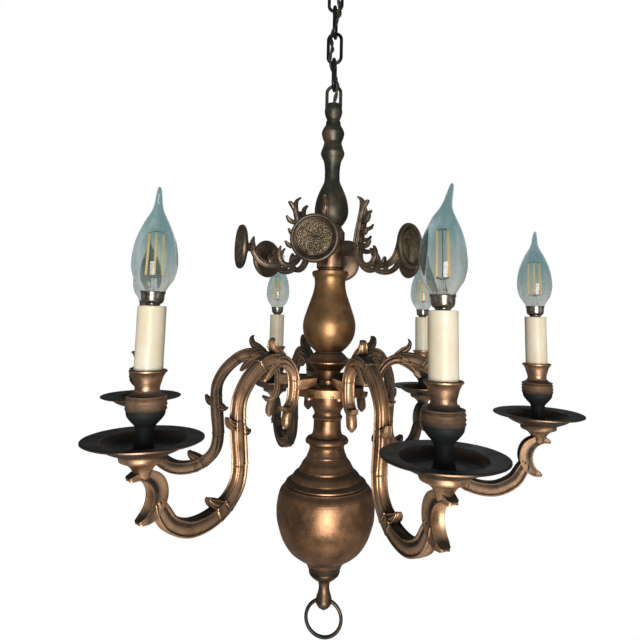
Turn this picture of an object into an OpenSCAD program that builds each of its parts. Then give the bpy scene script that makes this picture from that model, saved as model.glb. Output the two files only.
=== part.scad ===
// Six-arm cast brass chandelier on a short chain, with a ceiling canopy.
// Millimetres, +Z up, origin at the middle of the ceiling bar's top face.
// Radii of turned pieces are written as [radius, height] profiles in each piece's own frame.

/* [Ceiling fitting] */
// Diameter of the ceiling canopy
canopy_d = 128; // [116:2:180]
// Height of the ceiling canopy
canopy_h = 35; // [34:1:60]
// Wall of the spun canopy
canopy_wall = 1.2; // [1:0.1:2]
// Distance between the middles of the two slots in the ceiling bar
slot_spacing = 79.4; // [76:0.2:82]
// End-to-end length of each slot
slot_l = 24; // [18:1:26]
// Width of each slot
slot_w = 5; // [4:0.5:6]
// Width of the ceiling bar
bar_w = 16; // [14:1:24]
// Thickness of the ceiling bar
bar_t = 2.5; // [2:0.1:4]

/* [Chain and cord] */
// Outer length of one chain link
link_l = 42; // [38:1:52]
// Outer width of one link
link_w = 20; // [19:0.5:24]
// Wire diameter of the links and of the two end loops
link_wire = 4; // [3.4:0.1:4.2]
// Gap where one link sits in the next
link_gap = 0.2; // [0.15:0.05:0.4]
// Outer width of the loops that end the chain
end_loop_w = 20.6; // [20:0.2:24]
// Inner height of the end loops above their collars
end_loop_h = 22; // [16:0.5:26]
// Diameter of the supply cord threaded through the chain
cord_d = 5; // [4:0.1:5.2]

/* [Column] */
// Outside diameter of the threaded tube through the column
tube_d = 9.8; // [9:0.1:10.2]
// Bore of that tube, which carries the wires
tube_bore = 6.4; // [5.6:0.1:6.8]
// Clearance between the tube and each turned piece
tube_gap = 0.1; // [0.05:0.05:0.3]
// Height of the hanger knob under its loop
knob_h = 19.4; // [18:0.2:30]
// Largest diameter of the hanger knob
knob_d = 21; // [20:0.5:28]
// Height of the upper baluster
baluster_h = 127.8; // [110:0.2:150]
// Largest diameter of the upper baluster
baluster_d = 39.6; // [34:0.2:46]
// Height of the collar that carries the reflectors
reflector_hub_h = 51.5; // [44:0.5:60]
// Diameter of that collar
reflector_hub_d = 32; // [28:0.5:38]
// Height of the vase
vase_h = 92.7; // [80:0.1:120]
// Largest diameter of the vase
vase_d = 60; // [52:0.5:72]
// Wall of the hollow vase and ball
hollow_wall = 2.5; // [2:0.1:3.5]
// Height of the flared cap over the arm plate
arm_cap_h = 37.8; // [34:0.2:48]
// Diameter of the flared cap's brim
arm_cap_d = 57; // [50:0.5:62]
// Diameter of the plate that the arms stand on
plate_d = 80; // [76:1:90]
// Thickness of that plate
plate_t = 9; // [8:0.5:14]
// Height of the drum under the plate
drum_h = 46; // [36:0.5:56]
// Diameter of the drum at its foot
drum_d = 33; // [30:0.5:40]
// Height of the ball with its stepped neck
ball_h = 131.5; // [120:0.5:150]
// Largest diameter of the ball
ball_d = 107; // [98:0.5:116]
// Height of the bottom finial down to the ring's axle hole
finial_h = 39; // [36:0.5:50]
// Diameter of the finial's round knob
finial_knob_d = 17.5; // [16:0.5:22]
// Outer diameter of the pull ring
ring_d = 41.8; // [38:0.2:54]
// Wire diameter of the pull ring
ring_wire = 3.8; // [3:0.1:4.4]
// Clearance of the ring's wire in its hole
ring_gap = 0.3; // [0.15:0.05:0.4]

/* [Arms and candles] */
// Radius of the circle of candles
candle_r = 224; // [216:1:260]
// Width of the arm castings across
arm_w = 11; // [9:0.5:13]
// Depth of the groove in each side of the arms
groove_depth = 1.2; // [0.6:0.1:2]
// Diameter of the screws that hold the arms on the plate
arm_screw_d = 5; // [4:0.5:6]
// Height of the arm lugs above the plate
lug_h = 11.5; // [9:0.5:13]
// Diameter of the drip pans
pan_d = 90; // [80:1:110]
// Diameter of the well of the drip pans
pan_well_d = 62; // [50:1:68]
// Depth of that well
pan_depth = 9; // [7:0.5:10]
// Sheet thickness of the drip pans
pan_wall = 1.8; // [1.2:0.1:2.5]
// Height of the candle cups above the pan floor
cup_h = 60.3; // [56:0.5:70]
// Diameter of the round body of the candle cups
cup_d = 31.2; // [28:0.2:36]
// Diameter of the rim of the candle cups
cup_rim_d = 28.6; // [28:0.2:32]
// Diameter of the candle sleeves
sleeve_d = 21.9; // [21.4:0.1:23]
// Length of the candle sleeves
sleeve_l = 52.3; // [48:0.5:80]
// Wall of the candle sleeves
sleeve_wall = 1.2; // [0.8:0.1:1.4]
// Clearance of the sleeves in their seats
sleeve_gap = 0.15; // [0.1:0.05:0.3]
// Outside diameter of the lamp sockets
socket_d = 18.4; // [16:0.1:18.8]
// Bore of the lamp sockets
socket_bore = 12.6; // [12.4:0.1:13]

/* [Bulbs] */
// Diameter of the lamp base's screw shell
base_d = 11.9; // [11.5:0.1:12]
// Length of the screw shell below the collar
base_l = 20; // [16:0.5:24]
// Diameter of the nickel collar
collar_d = 19.2; // [17:0.1:19.4]
// Height of the nickel collar
collar_h = 9.8; // [8:0.2:12]
// Largest diameter of the glass
bulb_d = 35.4; // [30:0.2:40]
// Height of the glass
bulb_h = 83; // [70:1:95]
// Wall of the glass
glass_wall = 0.8; // [0.6:0.1:1.2]
// How far the tip of the glass leans
tip_lean = 7.5; // [0:0.5:9]

/* [Reflectors] */
// Distance from the column's axis to the back of a reflector
reflector_r = 99.5; // [96:0.5:120]
// Diameter of the reflector discs
reflector_d = 48; // [40:1:56]
// Thickness of the reflector discs
reflector_t = 8; // [6:0.5:11]
// Width of the bracket castings across
bracket_w = 6; // [4:0.5:8]

/* [Hidden] */
arm_count = 6;       // the nodes below name this many arms
link_count = 4;      // and this many links
arm_step = 360 / arm_count;
seat_gap = 0.1;      // pieces of one body that stand on each other
contact_gap = 0.3;   // the bulb's foot over the floor of its socket
link_bore = link_w - 2 * link_wire;
link_pitch = link_l - 2 * link_wire - link_gap;
loop_leg_x = (end_loop_w - link_wire) / 2;
leg_root = 3;        // how far the end loops' legs run into their collars
collar_drop = 12;    // height of the collar under the canopy

// Levels, from the ceiling down. Each is the top of its piece.
z_canopy_foot = -canopy_h;
z_top_loop = z_canopy_foot - collar_drop;                  // foot of the canopy loop's collar
z_top_bar = z_top_loop - end_loop_h;                       // upper side of the loop's bar
z_first_link = z_top_bar + link_gap + link_wire;           // top of the first link
z_last_link = z_first_link - (link_count - 1) * link_pitch - link_l;  // foot of the last link
z_hanger = z_last_link + 2 * link_wire + link_gap;         // top of the hanger loop
z_knob = z_hanger - link_wire - end_loop_h;                // top of the hanger knob
z_baluster = z_knob - knob_h;
z_reflector_hub = z_baluster - baluster_h;
z_vase = z_reflector_hub - reflector_hub_h;
z_arm_cap = z_vase - vase_h;
z_plate = z_arm_cap - arm_cap_h;
z_drum = z_plate - plate_t;
z_ball = z_drum - drum_h;
z_finial = z_ball - ball_h;
z_ring_hole = z_finial - finial_h;

// The rim of the drip pans lies this far under the top of the plate.
pan_under_plate = 20;
z_pan = z_plate - pan_under_plate;
z_reflector = z_vase + 19.5;
z_cup_seat = z_pan - pan_depth;
z_cup_rim = z_cup_seat + cup_h;
sleeve_seat = 3;     // depth of the sleeve's seat in the cup
z_sleeve = z_cup_rim - sleeve_seat;
z_sleeve_top = z_sleeve + sleeve_l;
collar_lift = 1.6;   // the bulb's collar stands this far above the sleeve
z_collar = z_sleeve_top + collar_lift;
seat_drop = 22.5;    // foot of the seat's post on the arm, below the pan's rim

// Ring in its hole: the arc of the ring sags inside the knob, so the hole is wider than the wire.
ring_r = (ring_d - ring_wire) / 2;
ring_sag = pow(finial_knob_d / 2 - 0.5, 2) / (2 * ring_r);
ring_hole_d = ring_wire + ring_sag + 2 * ring_gap;
z_ring = z_ring_hole + ring_sag / 2 - ring_r;

tube_hole_d = tube_d + 2 * tube_gap;
finial_thread = 15;  // depth of the finial's threaded hole
notch = [4, 1.6, 2.6];  // notches along the foot of the plate: width, depth, height
screw_r = 32;        // circle of the arm screws
screw_head = [9, 3]; // diameter and height
screw_depth = 7;     // how far the screws run into the lugs
lug_in = 25;         // radii at which the lugs begin and end
lug_out = 57;
groove_ridge = 1.6;  // width of the raised edge beside the arms' grooves
seat_under = pan_depth + pan_wall + seat_gap;
nipple_d = 9.8;
nipple_hole_d = nipple_d + 2 * tube_gap;
nipple_top = z_sleeve + 9;
socket_drop = 0.4;   // the sockets end this far under the sleeves' tops
wire_hole_d = 4;     // through the sockets' floors

// ---------- Curves ----------

function spline_point(a, b, c, d, t) =
    0.5 * (2 * b + (c - a) * t + (2 * a - 5 * b + 4 * c - d) * t * t
        + (3 * b - a - 3 * c + d) * t * t * t);

// A smooth curve through the given points, n steps between each pair.
function smooth(p, n = 4) = let (last = len(p) - 1) concat(
    [for (i = [0 : last - 1], j = [0 : n - 1])
        spline_point(p[max(i - 1, 0)], p[i], p[i + 1], p[min(i + 2, last)], j / n)],
    [p[last]]);

// Outline of a band along [x, y, half width] points.
function band(points, n = 4) =
    let (s = smooth(points, n), last = len(s) - 1,
         side = [for (i = [0 : last])
            let (d = s[min(i + 1, last)] - s[max(i - 1, 0)], l = norm([d[0], d[1]]))
            [-d[1], d[0]] * s[i][2] / l])
    concat([for (i = [0 : last]) [s[i][0], s[i][1]] + side[i]],
           [for (i = [last : -1 : 0]) [s[i][0], s[i][1]] - side[i]]);

// A turned piece: [radius, height] from top to foot, with a straight bore.
module turned(profile, bore_d) {
    top = profile[0][1];
    foot = profile[len(profile) - 1][1];
    rotate_extrude($fn = 96)
        polygon(concat([[bore_d / 2, top]], profile, [[bore_d / 2, foot]]));
}

// The hollow of a turned piece, between two heights of its profile.
module hollow(profile, low, high) {
    inner = [for (p = profile) if (p[1] > low && p[1] < high) [p[0] - hollow_wall, p[1]]];
    rotate_extrude($fn = 96)
        polygon(concat([[0, inner[0][1]]], inner, [[0, inner[len(inner) - 1][1]]]));
}

// ---------- Places ----------

module at_arm(i) { rotate(i * arm_step) children(); }
module between_arms(i) { at_arm(i + 0.5) children(); }
module at_candle(i) { at_arm(i) translate([candle_r, 0, 0]) children(); }
module in_arm_plane(width) { rotate([90, 0, 0]) linear_extrude(width, center = true) children(); }

// ---------- Ceiling fitting ----------

module canopy() {
    r = canopy_d / 2;
    hole = tube_hole_d / 2;
    skin = concat([[r, 0], [r, -3]],
        smooth([[r - 1.5, -4.5], [r - 5, -9], [r - 15, -19], [r - 30, -0.77 * canopy_h],
            [r - 44, -0.92 * canopy_h], [12, -canopy_h]], 5));
    last = len(skin) - 1;
    inner = [for (i = [last : -1 : 0]) [skin[i][0] - canopy_wall, min(skin[i][1] + canopy_wall, 0)]];
    color("#6b4a2c") rotate_extrude($fn = 96)
        polygon(concat(skin, [[hole, -canopy_h], [hole, canopy_wall - canopy_h]], inner));
}

module ceiling_bar() {
    color("#9a9a98") translate([0, 0, -bar_t]) linear_extrude(bar_t) difference() {
        square([slot_spacing + slot_l + 8, bar_w], center = true);
        circle(d = tube_hole_d, $fn = 48);
        for (side = [-1, 1]) translate([side * slot_spacing / 2, 0]) {
            square([slot_l - slot_w, slot_w], center = true);
            for (end = [-1, 1]) translate([end * (slot_l - slot_w) / 2, 0]) circle(d = slot_w, $fn = 48);
        }
    }
}

// A loop that stands on z = 0 with its bar end_loop_h above, in the XZ plane.
module end_loop() {
    rise = end_loop_h + link_wire / 2 - loop_leg_x;
    translate([0, 0, rise]) rotate([90, 0, 0])
        rotate_extrude(angle = 180, $fn = 64) translate([loop_leg_x, 0]) circle(d = link_wire, $fn = 24);
    for (side = [-1, 1]) translate([side * loop_leg_x, 0, -leg_root])
        cylinder(d = link_wire, h = rise + leg_root, $fn = 24);
}
module canopy_loop() {
    r = end_loop_w / 2 + 1.5;
    color("#5d4329") {
        translate([0, 0, z_top_loop]) rotate([180, 0, 90]) end_loop();
        translate([0, 0, z_top_loop]) turned([[tube_d / 2, collar_drop - seat_gap],
            [r - 4, collar_drop - seat_gap], [r - 2, collar_drop - 2.4], [r - 3, collar_drop - 5],
            [r, 4.6], [r, 2], [r - 2, 0]], tube_bore);
        translate([0, 0, z_canopy_foot - 1]) difference() {
            cylinder(d = tube_d, h = canopy_h + 1, $fn = 48);
            translate([0, 0, -1]) cylinder(d = tube_bore, h = canopy_h + 3, $fn = 48);
        }
    }
}

// ---------- Chain ----------

// One link, top at z = 0, in the XZ plane.
module link() {
    mid_r = (link_w - link_wire) / 2;
    straight = link_l - link_w;
    for (end = [0, 1]) translate([0, 0, -link_w / 2 - end * straight]) rotate([90, end * 180, 0])
        rotate_extrude(angle = 180, $fn = 64) translate([mid_r, 0]) circle(d = link_wire, $fn = 24);
    for (side = [-1, 1]) translate([side * mid_r, 0, -link_w / 2 - straight])
        cylinder(d = link_wire, h = straight, $fn = 24);
}

module chain_link(i) {
    color("#4c3b28") translate([0, 0, z_first_link - i * link_pitch])
        rotate(i % 2 == 0 ? 0 : 90) link();
}

// ---------- Supply cord ----------

// The cord winds through the chain, a quarter turn for each link: beside the bars where two
// links meet, and through the middle of each link between.
cord_beside = link_wire / 2 + cord_d / 2 + 0.5;
cord_through = link_bore / 2 - cord_d / 2 - 0.7;
cord_quadrants = [[1, -1], [1, 1], [-1, 1], [-1, -1], [1, -1]];
cord_crossings = [[1, 0], [0, 1], [-1, 0], [0, -1]];
function meeting_z(i) = z_first_link - link_wire - link_gap / 2 - i * link_pitch;
cord_route = concat(
    [[0, 0, -6], [0, 0, -canopy_h / 2], [0, 0, z_top_loop + 2], [0.6, -0.6, z_top_loop - 2.5]],
    [for (i = [0 : 2 * link_count])
        let (k = floor(i / 2), quadrant = cord_quadrants[k])
        i % 2 == 0 ? [quadrant[0] * cord_beside, quadrant[1] * cord_beside, meeting_z(k)]
            : [cord_crossings[k][0] * cord_through, cord_crossings[k][1] * cord_through,
                (meeting_z(k) + meeting_z(k + 1)) / 2]],
    [[0.6, -0.6, z_knob + 3], [0, 0, z_knob - 1.5], [0, 0, z_knob - knob_h / 2],
        [0, 0, z_baluster - 20]]);

// Faces of a skin over rings of points, closed at both ends.
function skin_faces(ring_count, sides) = concat(
    [[for (j = [0 : sides - 1]) j]],
    [for (i = [0 : ring_count - 2], j = [0 : sides - 1]) let (k = (j + 1) % sides)
        [i * sides + j, (i + 1) * sides + j, (i + 1) * sides + k, i * sides + k]],
    [[for (j = [sides - 1 : -1 : 0]) (ring_count - 1) * sides + j]]);

module swept_tube(points, d, sides) {
    last = len(points) - 1;
    rings = [for (i = [0 : last])
        let (along = points[min(i + 1, last)] - points[max(i - 1, 0)], w = along / norm(along),
             u0 = cross([0, 1, 0], w), u = u0 / norm(u0), v = cross(w, u))
        for (j = [0 : sides - 1])
            let (a = 360 * j / sides) points[i] + (u * cos(a) + v * sin(a)) * d / 2];
    polyhedron(rings, skin_faces(len(points), sides));
}

module supply_cord() { color("#3b4238") swept_tube(smooth(cord_route, 3), cord_d, 8); }

// ---------- Column ----------

module hanger_loop() {
    r = knob_d / 2;
    profile = concat([[r - 1.2, 0]], smooth([[r - 0.6, -1.5], [r, -6], [r, -0.48 * knob_h],
        [r - 1, -0.7 * knob_h], [r - 3.4, -knob_h]], 4));
    color("#7a5632") translate([0, 0, z_knob]) {
        end_loop();
        difference() {
            turned(profile, tube_bore);
            translate([0, 0, -knob_h - 1]) cylinder(d = tube_hole_d, h = knob_h * 0.6, $fn = 48);
        }
    }
}

module upper_baluster() {
    r = baluster_d / 2;
    h = baluster_h;
    profile = concat(
        [[7.6, -seat_gap], [8.6, -1.2], [8.8, -2.2], [8.2, -3], [9, -4], [9, -5], [8.4, -5.8]],
        smooth([[9.4, -6.4], [12, -0.085 * h], [13.5, -0.122 * h], [12.6, -0.16 * h], [10.5, -0.212 * h],
            [12.2, -0.268 * h], [14.1, -0.316 * h], [12.8, -0.352 * h], [10.4, -0.395 * h],
            [9, -0.47 * h], [8.9, -0.54 * h], [9.6, -0.595 * h], [14, -0.672 * h], [r - 1.6, -0.765 * h],
            [r, -0.86 * h], [r - 1.4, -0.925 * h], [14.5, -0.98 * h], [12, -h]], 4));
    color("#8a6034") translate([0, 0, z_baluster]) turned(profile, tube_hole_d);
}

module reflector_hub() {
    r = reflector_hub_d / 2;
    h = reflector_hub_h;
    color("#8a6034") translate([0, 0, z_reflector_hub])
        turned([[12, -seat_gap], [12.8, -3], [r - 1.6, -5.5], [r, -8], [r, -h + 2], [r - 1.2, -h + 1.2],
            [r - 1.2, -h]], tube_hole_d);
}

module vase() {
    r = vase_d / 2;
    h = vase_h;
    profile = concat([[14.8, -seat_gap], [14.8, -1.5], [19.6, -1.8], [20.8, -2.8], [20.8, -6], [20, -7.4],
        [18.6, -9]],
        smooth([[18, -10.5], [17.7, -0.19 * h], [19.6, -0.3 * h], [24.6, -0.46 * h], [r - 1, -0.61 * h],
            [r, -0.705 * h], [r - 1.5, -0.81 * h], [24, -0.905 * h], [18, -0.975 * h], [15.2, -h]], 5));
    color("#a9773c") translate([0, 0, z_vase]) difference() {
        turned(profile, tube_hole_d);
        hollow(profile, -0.93 * h, -0.12 * h);
    }
}

module arm_cap() {
    r = arm_cap_d / 2;
    h = arm_cap_h;
    profile = concat([[14.8, -seat_gap]],
        smooth([[15, -0.8], [17.2, -2.6], [19.8, -5.2], [22.8, -8], [r - 1.4, -10.4], [r, -11.2]], 3),
        [[r, -12], [r - 1.4, -12.6], [21.6, -12.8], [21.2, -13.6], [15.6, -20.2], [14.6, -20.6],
        [14.3, -21.4], [11.3, -0.82 * h], [10.4, -0.84 * h], [10.4, -h + 2], [12.4, -h]]);
    color("#8a6034") translate([0, 0, z_arm_cap]) turned(profile, tube_hole_d);
}

module arm_plate() {
    color("#b98a48") translate([0, 0, z_plate]) difference() {
        turned([[plate_d / 2 - 0.8, -seat_gap], [plate_d / 2, -1], [plate_d / 2, -plate_t]], tube_hole_d);
        for (i = [0 : arm_count - 1]) at_arm(i) translate([screw_r, 0, -plate_t - 1])
            cylinder(d = arm_screw_d + 0.4, h = plate_t + 2, $fn = 32);
        for (i = [0 : 2 * arm_count - 1]) at_arm((i + 0.5) / 2)
            translate([plate_d / 2, 0, -plate_t + notch[2] / 2 - 0.5])
                cube([2 * notch[1], notch[0], notch[2] + 1], center = true);
    }
}

module arm_screws() {
    color("#8d6a3a") for (i = [0 : arm_count - 1]) at_arm(i) translate([screw_r, 0, z_drum]) {
        translate([0, 0, -seat_gap - screw_head[1]])
            cylinder(d = screw_head[0], h = screw_head[1], $fn = 32);
        translate([0, 0, -seat_gap - 0.5])
            cylinder(d = arm_screw_d, h = plate_t + screw_depth, $fn = 32);
    }
}
module drum() {
    r = drum_d / 2;
    h = drum_h;
    profile = concat([[19.4, -seat_gap], [19.6, -1.4], [19.6, -4]],
        smooth([[19.4, -0.13 * h], [18.8, -0.226 * h], [17.7, -0.313 * h], [16, -0.374 * h],
            [15, -0.422 * h]], 3),
        [[14.7, -0.461 * h], [14.9, -0.487 * h]],
        smooth([[15.8, -0.513 * h], [16.9, -0.55 * h], [16.1, -0.589 * h]], 3),
        [[15.2, -0.613 * h]],
        smooth([[r - 1.3, -0.64 * h], [r - 1.2, -0.75 * h], [r - 0.9, -0.865 * h], [r, -0.94 * h],
            [r + 1.6, -h]], 4));
    color("#8a6034") translate([0, 0, z_drum]) turned(profile, tube_hole_d);
}

module ball() {
    r = ball_d / 2;
    h = ball_h;
    neck = concat(
        smooth([[18.9, -seat_gap], [21.8, -1], [23.6, -3.4], [23.9, -5.2]], 3),
        [[23.6, -6.4], [22, -7.2]],
        smooth([[20.4, -8.2], [19.2, -11], [19.4, -14], [20.6, -18]], 3),
        [[21.2, -19.2], [21.8, -20], [21.8, -21.2]],
        smooth([[22.2, -22], [24.2, -25], [26.6, -28], [28.6, -32]], 3),
        [[29.6, -33.4], [30, -34.2], [30, -35.4]],
        smooth([[30.8, -36], [34.9, -39], [37.6, -42.6], [38.4, -44.6]], 3),
        [[42.8, -47], [44, -47.8], [44.2, -49], [43.8, -49.6], [45.2, -50.2], [45.6, -51.2]]);
    belly = smooth([[46.4, -52.2], [r - 2.8, -57.8], [r - 0.3, -0.532 * h], [r, -0.593 * h],
        [r - 0.6, -0.654 * h], [r - 2.4, -0.707 * h], [r - 6.7, -0.798 * h], [r - 13.9, -0.882 * h],
        [r - 22.4, -0.935 * h], [r - 29, -0.966 * h]], 4);
    foot = [[21.8, -0.976 * h], [22.2, -0.984 * h], [21.6, -0.99 * h], [20.4, -h]];
    profile = concat(neck, belly, foot);
    color("#7a5230") translate([0, 0, z_ball]) difference() {
        turned(profile, tube_hole_d);
        hollow(profile, -0.945 * h, -24);
    }
}

module finial() {
    r = finial_knob_d / 2;
    f = finial_h;
    profile = concat([[20.2, -seat_gap]],
        smooth([[19.2, -2], [17.9, -5], [16.8, -0.195 * f], [16.9, -0.241 * f], [15.6, -0.318 * f],
            [11.5, -0.41 * f], [7.6, -0.487 * f], [6.1, -0.564 * f], [5.7, -0.672 * f], [6.3, -0.77 * f],
            [r - 1.35, 5.4 - f]], 4),
        [for (a = [25 : -15 : -65]) [r * cos(a), r * sin(a) - f]],
        [[2.2, -f - r - 0.5], [0, -f - r - 1.2]]);
    color("#94703f") translate([0, 0, z_finial]) difference() {
        turned(profile, 0);
        translate([0, 0, -finial_thread]) cylinder(d = tube_hole_d, h = finial_thread + 1, $fn = 48);
        translate([0, 0, -finial_h]) rotate([0, 90, 0])
            cylinder(d = ring_hole_d, h = finial_knob_d + 2, center = true, $fn = 48);
    }
}
module pull_ring() {
    color("#7a5a36") translate([0, 0, z_ring]) rotate([90, 0, 0])
        rotate_extrude($fn = 96) translate([ring_r, 0]) circle(d = ring_wire, $fn = 24);
}

module column_tube() {
    top = z_knob - knob_h - 1 + knob_h * 0.6 - seat_gap;
    foot = z_finial - finial_thread + seat_gap;
    color("#8f8f8c") translate([0, 0, foot]) difference() {
        cylinder(d = tube_d, h = top - foot, $fn = 48);
        translate([0, 0, -1]) cylinder(d = tube_bore, h = top - foot + 2, $fn = 48);
    }
}

// ---------- Reflector tier ----------

// One bracket in the [radius, height] plane, heights measured from the reflector's middle.
reflector_edge = reflector_r - seat_gap;
bracket_bands = [
    [[10, 4, 11], [26, 5, 9.5], [33, 4, 6.5], [38, 1, 4.4]],                                  // root
    [[37, -4, 3.4], [36.8, 6, 4.2], [38.4, 20, 4], [41.6, 36, 3.4], [44, 48, 2.8], [43, 57, 2],
        [38, 62, 0.8]],
    [[43, 42, 2.2], [46.6, 49, 2.6], [50.4, 54.6, 2], [54, 56.4, 0.6]],
    [[41, 32, 2], [49, 34.6, 2.4], [54, 37.4, 1.6], [59, 42, 0.5]],
    [[39, 19, 2], [46, 20, 2.6], [51, 22, 1.8], [55, 26.6, 0.5]],
    [[38, 8, 2], [45, 6, 2.8], [52, 7, 2], [58, 12, 0.5]],
    [[37, 2, 3.8], [38, -6, 3.6], [43, -13.6, 3.4], [50, -17, 3.2], [57, -15.4, 3], [61, -9, 2.8],
        [61.8, -2, 2], [60, 4.6, 0.6]],
    [[61, -9, 2.4], [58.6, -3, 1.8], [55, 2.7, 0.5]],
    [[56, -14.6, 2.4], [63, -17.4, 3], [72, -18.4, 3.2], [80, -16, 3.2], [86.4, -10.6, 3.2],
        [90.6, -3, 3.4], [92, 5, 2.6], [90.6, 13, 0.5]],
    [[70, -17, 2.2], [73, -12, 1.8], [73.6, -8, 0.5]]
];
module reflector_bracket() {
    in_arm_plane(bracket_w) for (b = bracket_bands) polygon(band(b, 3));
    translate([reflector_edge, 0, 0]) rotate([0, -90, 0]) cylinder(d = 9, h = 9, $fn = 32);
    translate([reflector_edge, 0, 0]) rotate([0, -90, 0]) cylinder(d = 14, h = 2.2, $fn = 32);
}

module reflector_brackets() {
    color("#6e4e30") translate([0, 0, z_reflector]) difference() {
        for (i = [0 : arm_count - 1]) between_arms(i) reflector_bracket();
        translate([0, 0, -reflector_hub_h])
            cylinder(d = reflector_hub_d + 2 * seat_gap, h = 2 * reflector_hub_h, $fn = 96);
    }
}

// Disc with a domed back, a raised rim and a sunken middle, facing outwards.
module reflector() {
    r = reflector_d / 2;
    t = reflector_t;
    rotate([0, 90, 0]) rotate_extrude($fn = 64) polygon(concat(
        [[0, 0], [r * 0.55, 0]],
        smooth([[r * 0.75, 0.8], [r * 0.92, 2], [r, 0.55 * t], [r - 0.8, 0.9 * t], [r - 2.2, t]], 3),
        [[r - 3.4, t - 0.6], [r - 4.2, t - 2], [r - 5.2, t - 2.2], [r - 5.6, t - 0.8], [r - 6.6, t - 0.8],
        [r - 7.4, t - 1.6], [0, t - 1.2]]));
}

module reflectors() {
    color("#6b5334") for (i = [0 : arm_count - 1]) between_arms(i)
        translate([reflector_r, 0, z_reflector]) reflector();
}

// ---------- Arms ----------

// The arm in the [radius, height] plane. Heights are measured from the pan's rim.
// The radii are drawn for candles on drawn_r. For another candle_r the run between the scroll
// and the foot takes up the difference.
drawn_r = 224;
scroll_end = 90;
foot_start = 180;
function slide_share(r) = min(1, max(0, (r - scroll_end) / (foot_start - scroll_end)));
function slid(r) = r + (candle_r - drawn_r) * slide_share(r);
drawn_bands = [
    [[82, 53, 6], [100, 50.5, 6], [118, 37, 5.6], [129, 20, 5], [131, 4, 5], [129, -16, 5.5],
        [126.5, -40, 5], [130, -58, 5.4], [143, -71.5, 6], [161, -78.5, 6.3], [180, -78.5, 6.3],
        [197, -70, 6], [206, -58, 5.5], [210, -50, 4]],
    [[102, 33, 1.4], [96, 40, 3.2], [88, 47.5, 4.6], [77, 51.5, 4.8], [66, 46.5, 4], [58.5, 36, 3.5],
        [57, 22, 3.5], [58.6, 10, 3.5], [63, 3.6, 3], [69, 1.8, 2.2], [75.4, 5.4, 0.6]],
    [[61.6, 6, 2.6], [64.6, -1, 4.6], [66, -8, 5], [66.4, -13, 3.4], [66.6, -15.8, 1]],
    [[76, 55, 3], [84, 60.4, 3.6], [89.4, 64.6, 2.6], [91, 70, 1.6], [89, 73.6, 0.6]],
    [[130, -5, 4.6], [137, -3.4, 3.4], [141, -0.4, 2], [143.5, 4, 0.6]],
    [[130, -6, 4], [122, -11, 3], [116.5, -10, 0.6]],
    [[146, -71, 5], [153, -67, 4], [159, -63, 2.2], [161, -60, 0.6]]
];
arm_bands = [for (b = drawn_bands) [for (p = b) [slid(p[0]), p[1], p[2]]]];
// The crescent that ends the arm and carries the pan: an arc, thick in the middle.
crescent_r = 17.6;
crescent_centre = [candle_r + 3.5, -44.5];
crescent_half = [1.6, 3, 4.6, 5.8, 6.3, 6.3, 5.4, 3.8, 1.4];
crescent = [for (i = [0 : len(crescent_half) - 1])
    let (a = 66 + i * 24.5, p = crescent_centre + crescent_r * [cos(a), sin(a)])
    [p[0], p[1], crescent_half[i]]];
function part_of(b, from, to, by) = [for (i = [from : to]) [b[i][0], b[i][1], b[i][2] - by]];
grooves = [part_of(arm_bands[0], 1, 12, groove_ridge), part_of(arm_bands[1], 2, 9, groove_ridge),
    part_of(crescent, 2, 7, groove_ridge)];
seat_r = 17.8;       // the disc that the pan lies on, and the post under it
post_r = 6.2;
seat_t = 5.6;

module arm_casting() {
    difference() {
        union() {
            in_arm_plane(arm_w) for (b = arm_bands) polygon(band(b));
            in_arm_plane(arm_w) polygon(band(crescent));
            translate([lug_in, -arm_w / 2, pan_under_plate + seat_gap])
                cube([lug_out - lug_in, arm_w, lug_h]);
            translate([candle_r, 0, 0]) rotate_extrude($fn = 64) polygon([[0, -seat_under],
                [seat_r, -seat_under], [seat_r, -seat_under - seat_t + 1.2],
                [seat_r - 1.4, -seat_under - seat_t], [post_r + 2.6, 2.2 - seat_drop],
                [post_r, -seat_drop], [post_r - 1, -seat_drop - 4], [0, -seat_drop - 4]]);
        }
        for (side = [-1, 1]) translate([0, side * arm_w / 2, 0]) in_arm_plane(2 * groove_depth)
            for (g = grooves) polygon(band(g));
        translate([candle_r, 0, -seat_drop - 2]) cylinder(d = nipple_hole_d, h = seat_drop, $fn = 48);
        translate([screw_r, 0, pan_under_plate - 1])
            cylinder(d = arm_screw_d + 2 * tube_gap, h = screw_depth + 1.4, $fn = 32);
    }
}
module arm(i) { color("#94683a") at_arm(i) translate([0, 0, z_pan]) arm_casting(); }

// ---------- Candles ----------

module drip_pan(i) {
    r = pan_d / 2;
    well = pan_well_d / 2;
    w = pan_wall;
    top = concat([[nipple_hole_d / 2, -pan_depth], [well - 9, -pan_depth]],
        smooth([[well - 5, -pan_depth + 1], [well - 1.6, -pan_depth + 4.6], [well, -1.4]], 3),
        [[well + 1.2, -0.9], [r - 1, 0.4], [r, 0]]);
    under = concat([[r, -1], [r - 1.2, -1.6], [well + 2.4, -1.2 - w]],
        smooth([[well + 1, -3 - w], [well - 3.6, -pan_depth + 2.8 - w], [well - 10, -pan_depth - w]], 3),
        [[nipple_hole_d / 2, -pan_depth - w]]);
    color("#57452f") at_candle(i) translate([0, 0, z_pan])
        rotate_extrude($fn = 96) polygon(concat(top, under));
}

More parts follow.
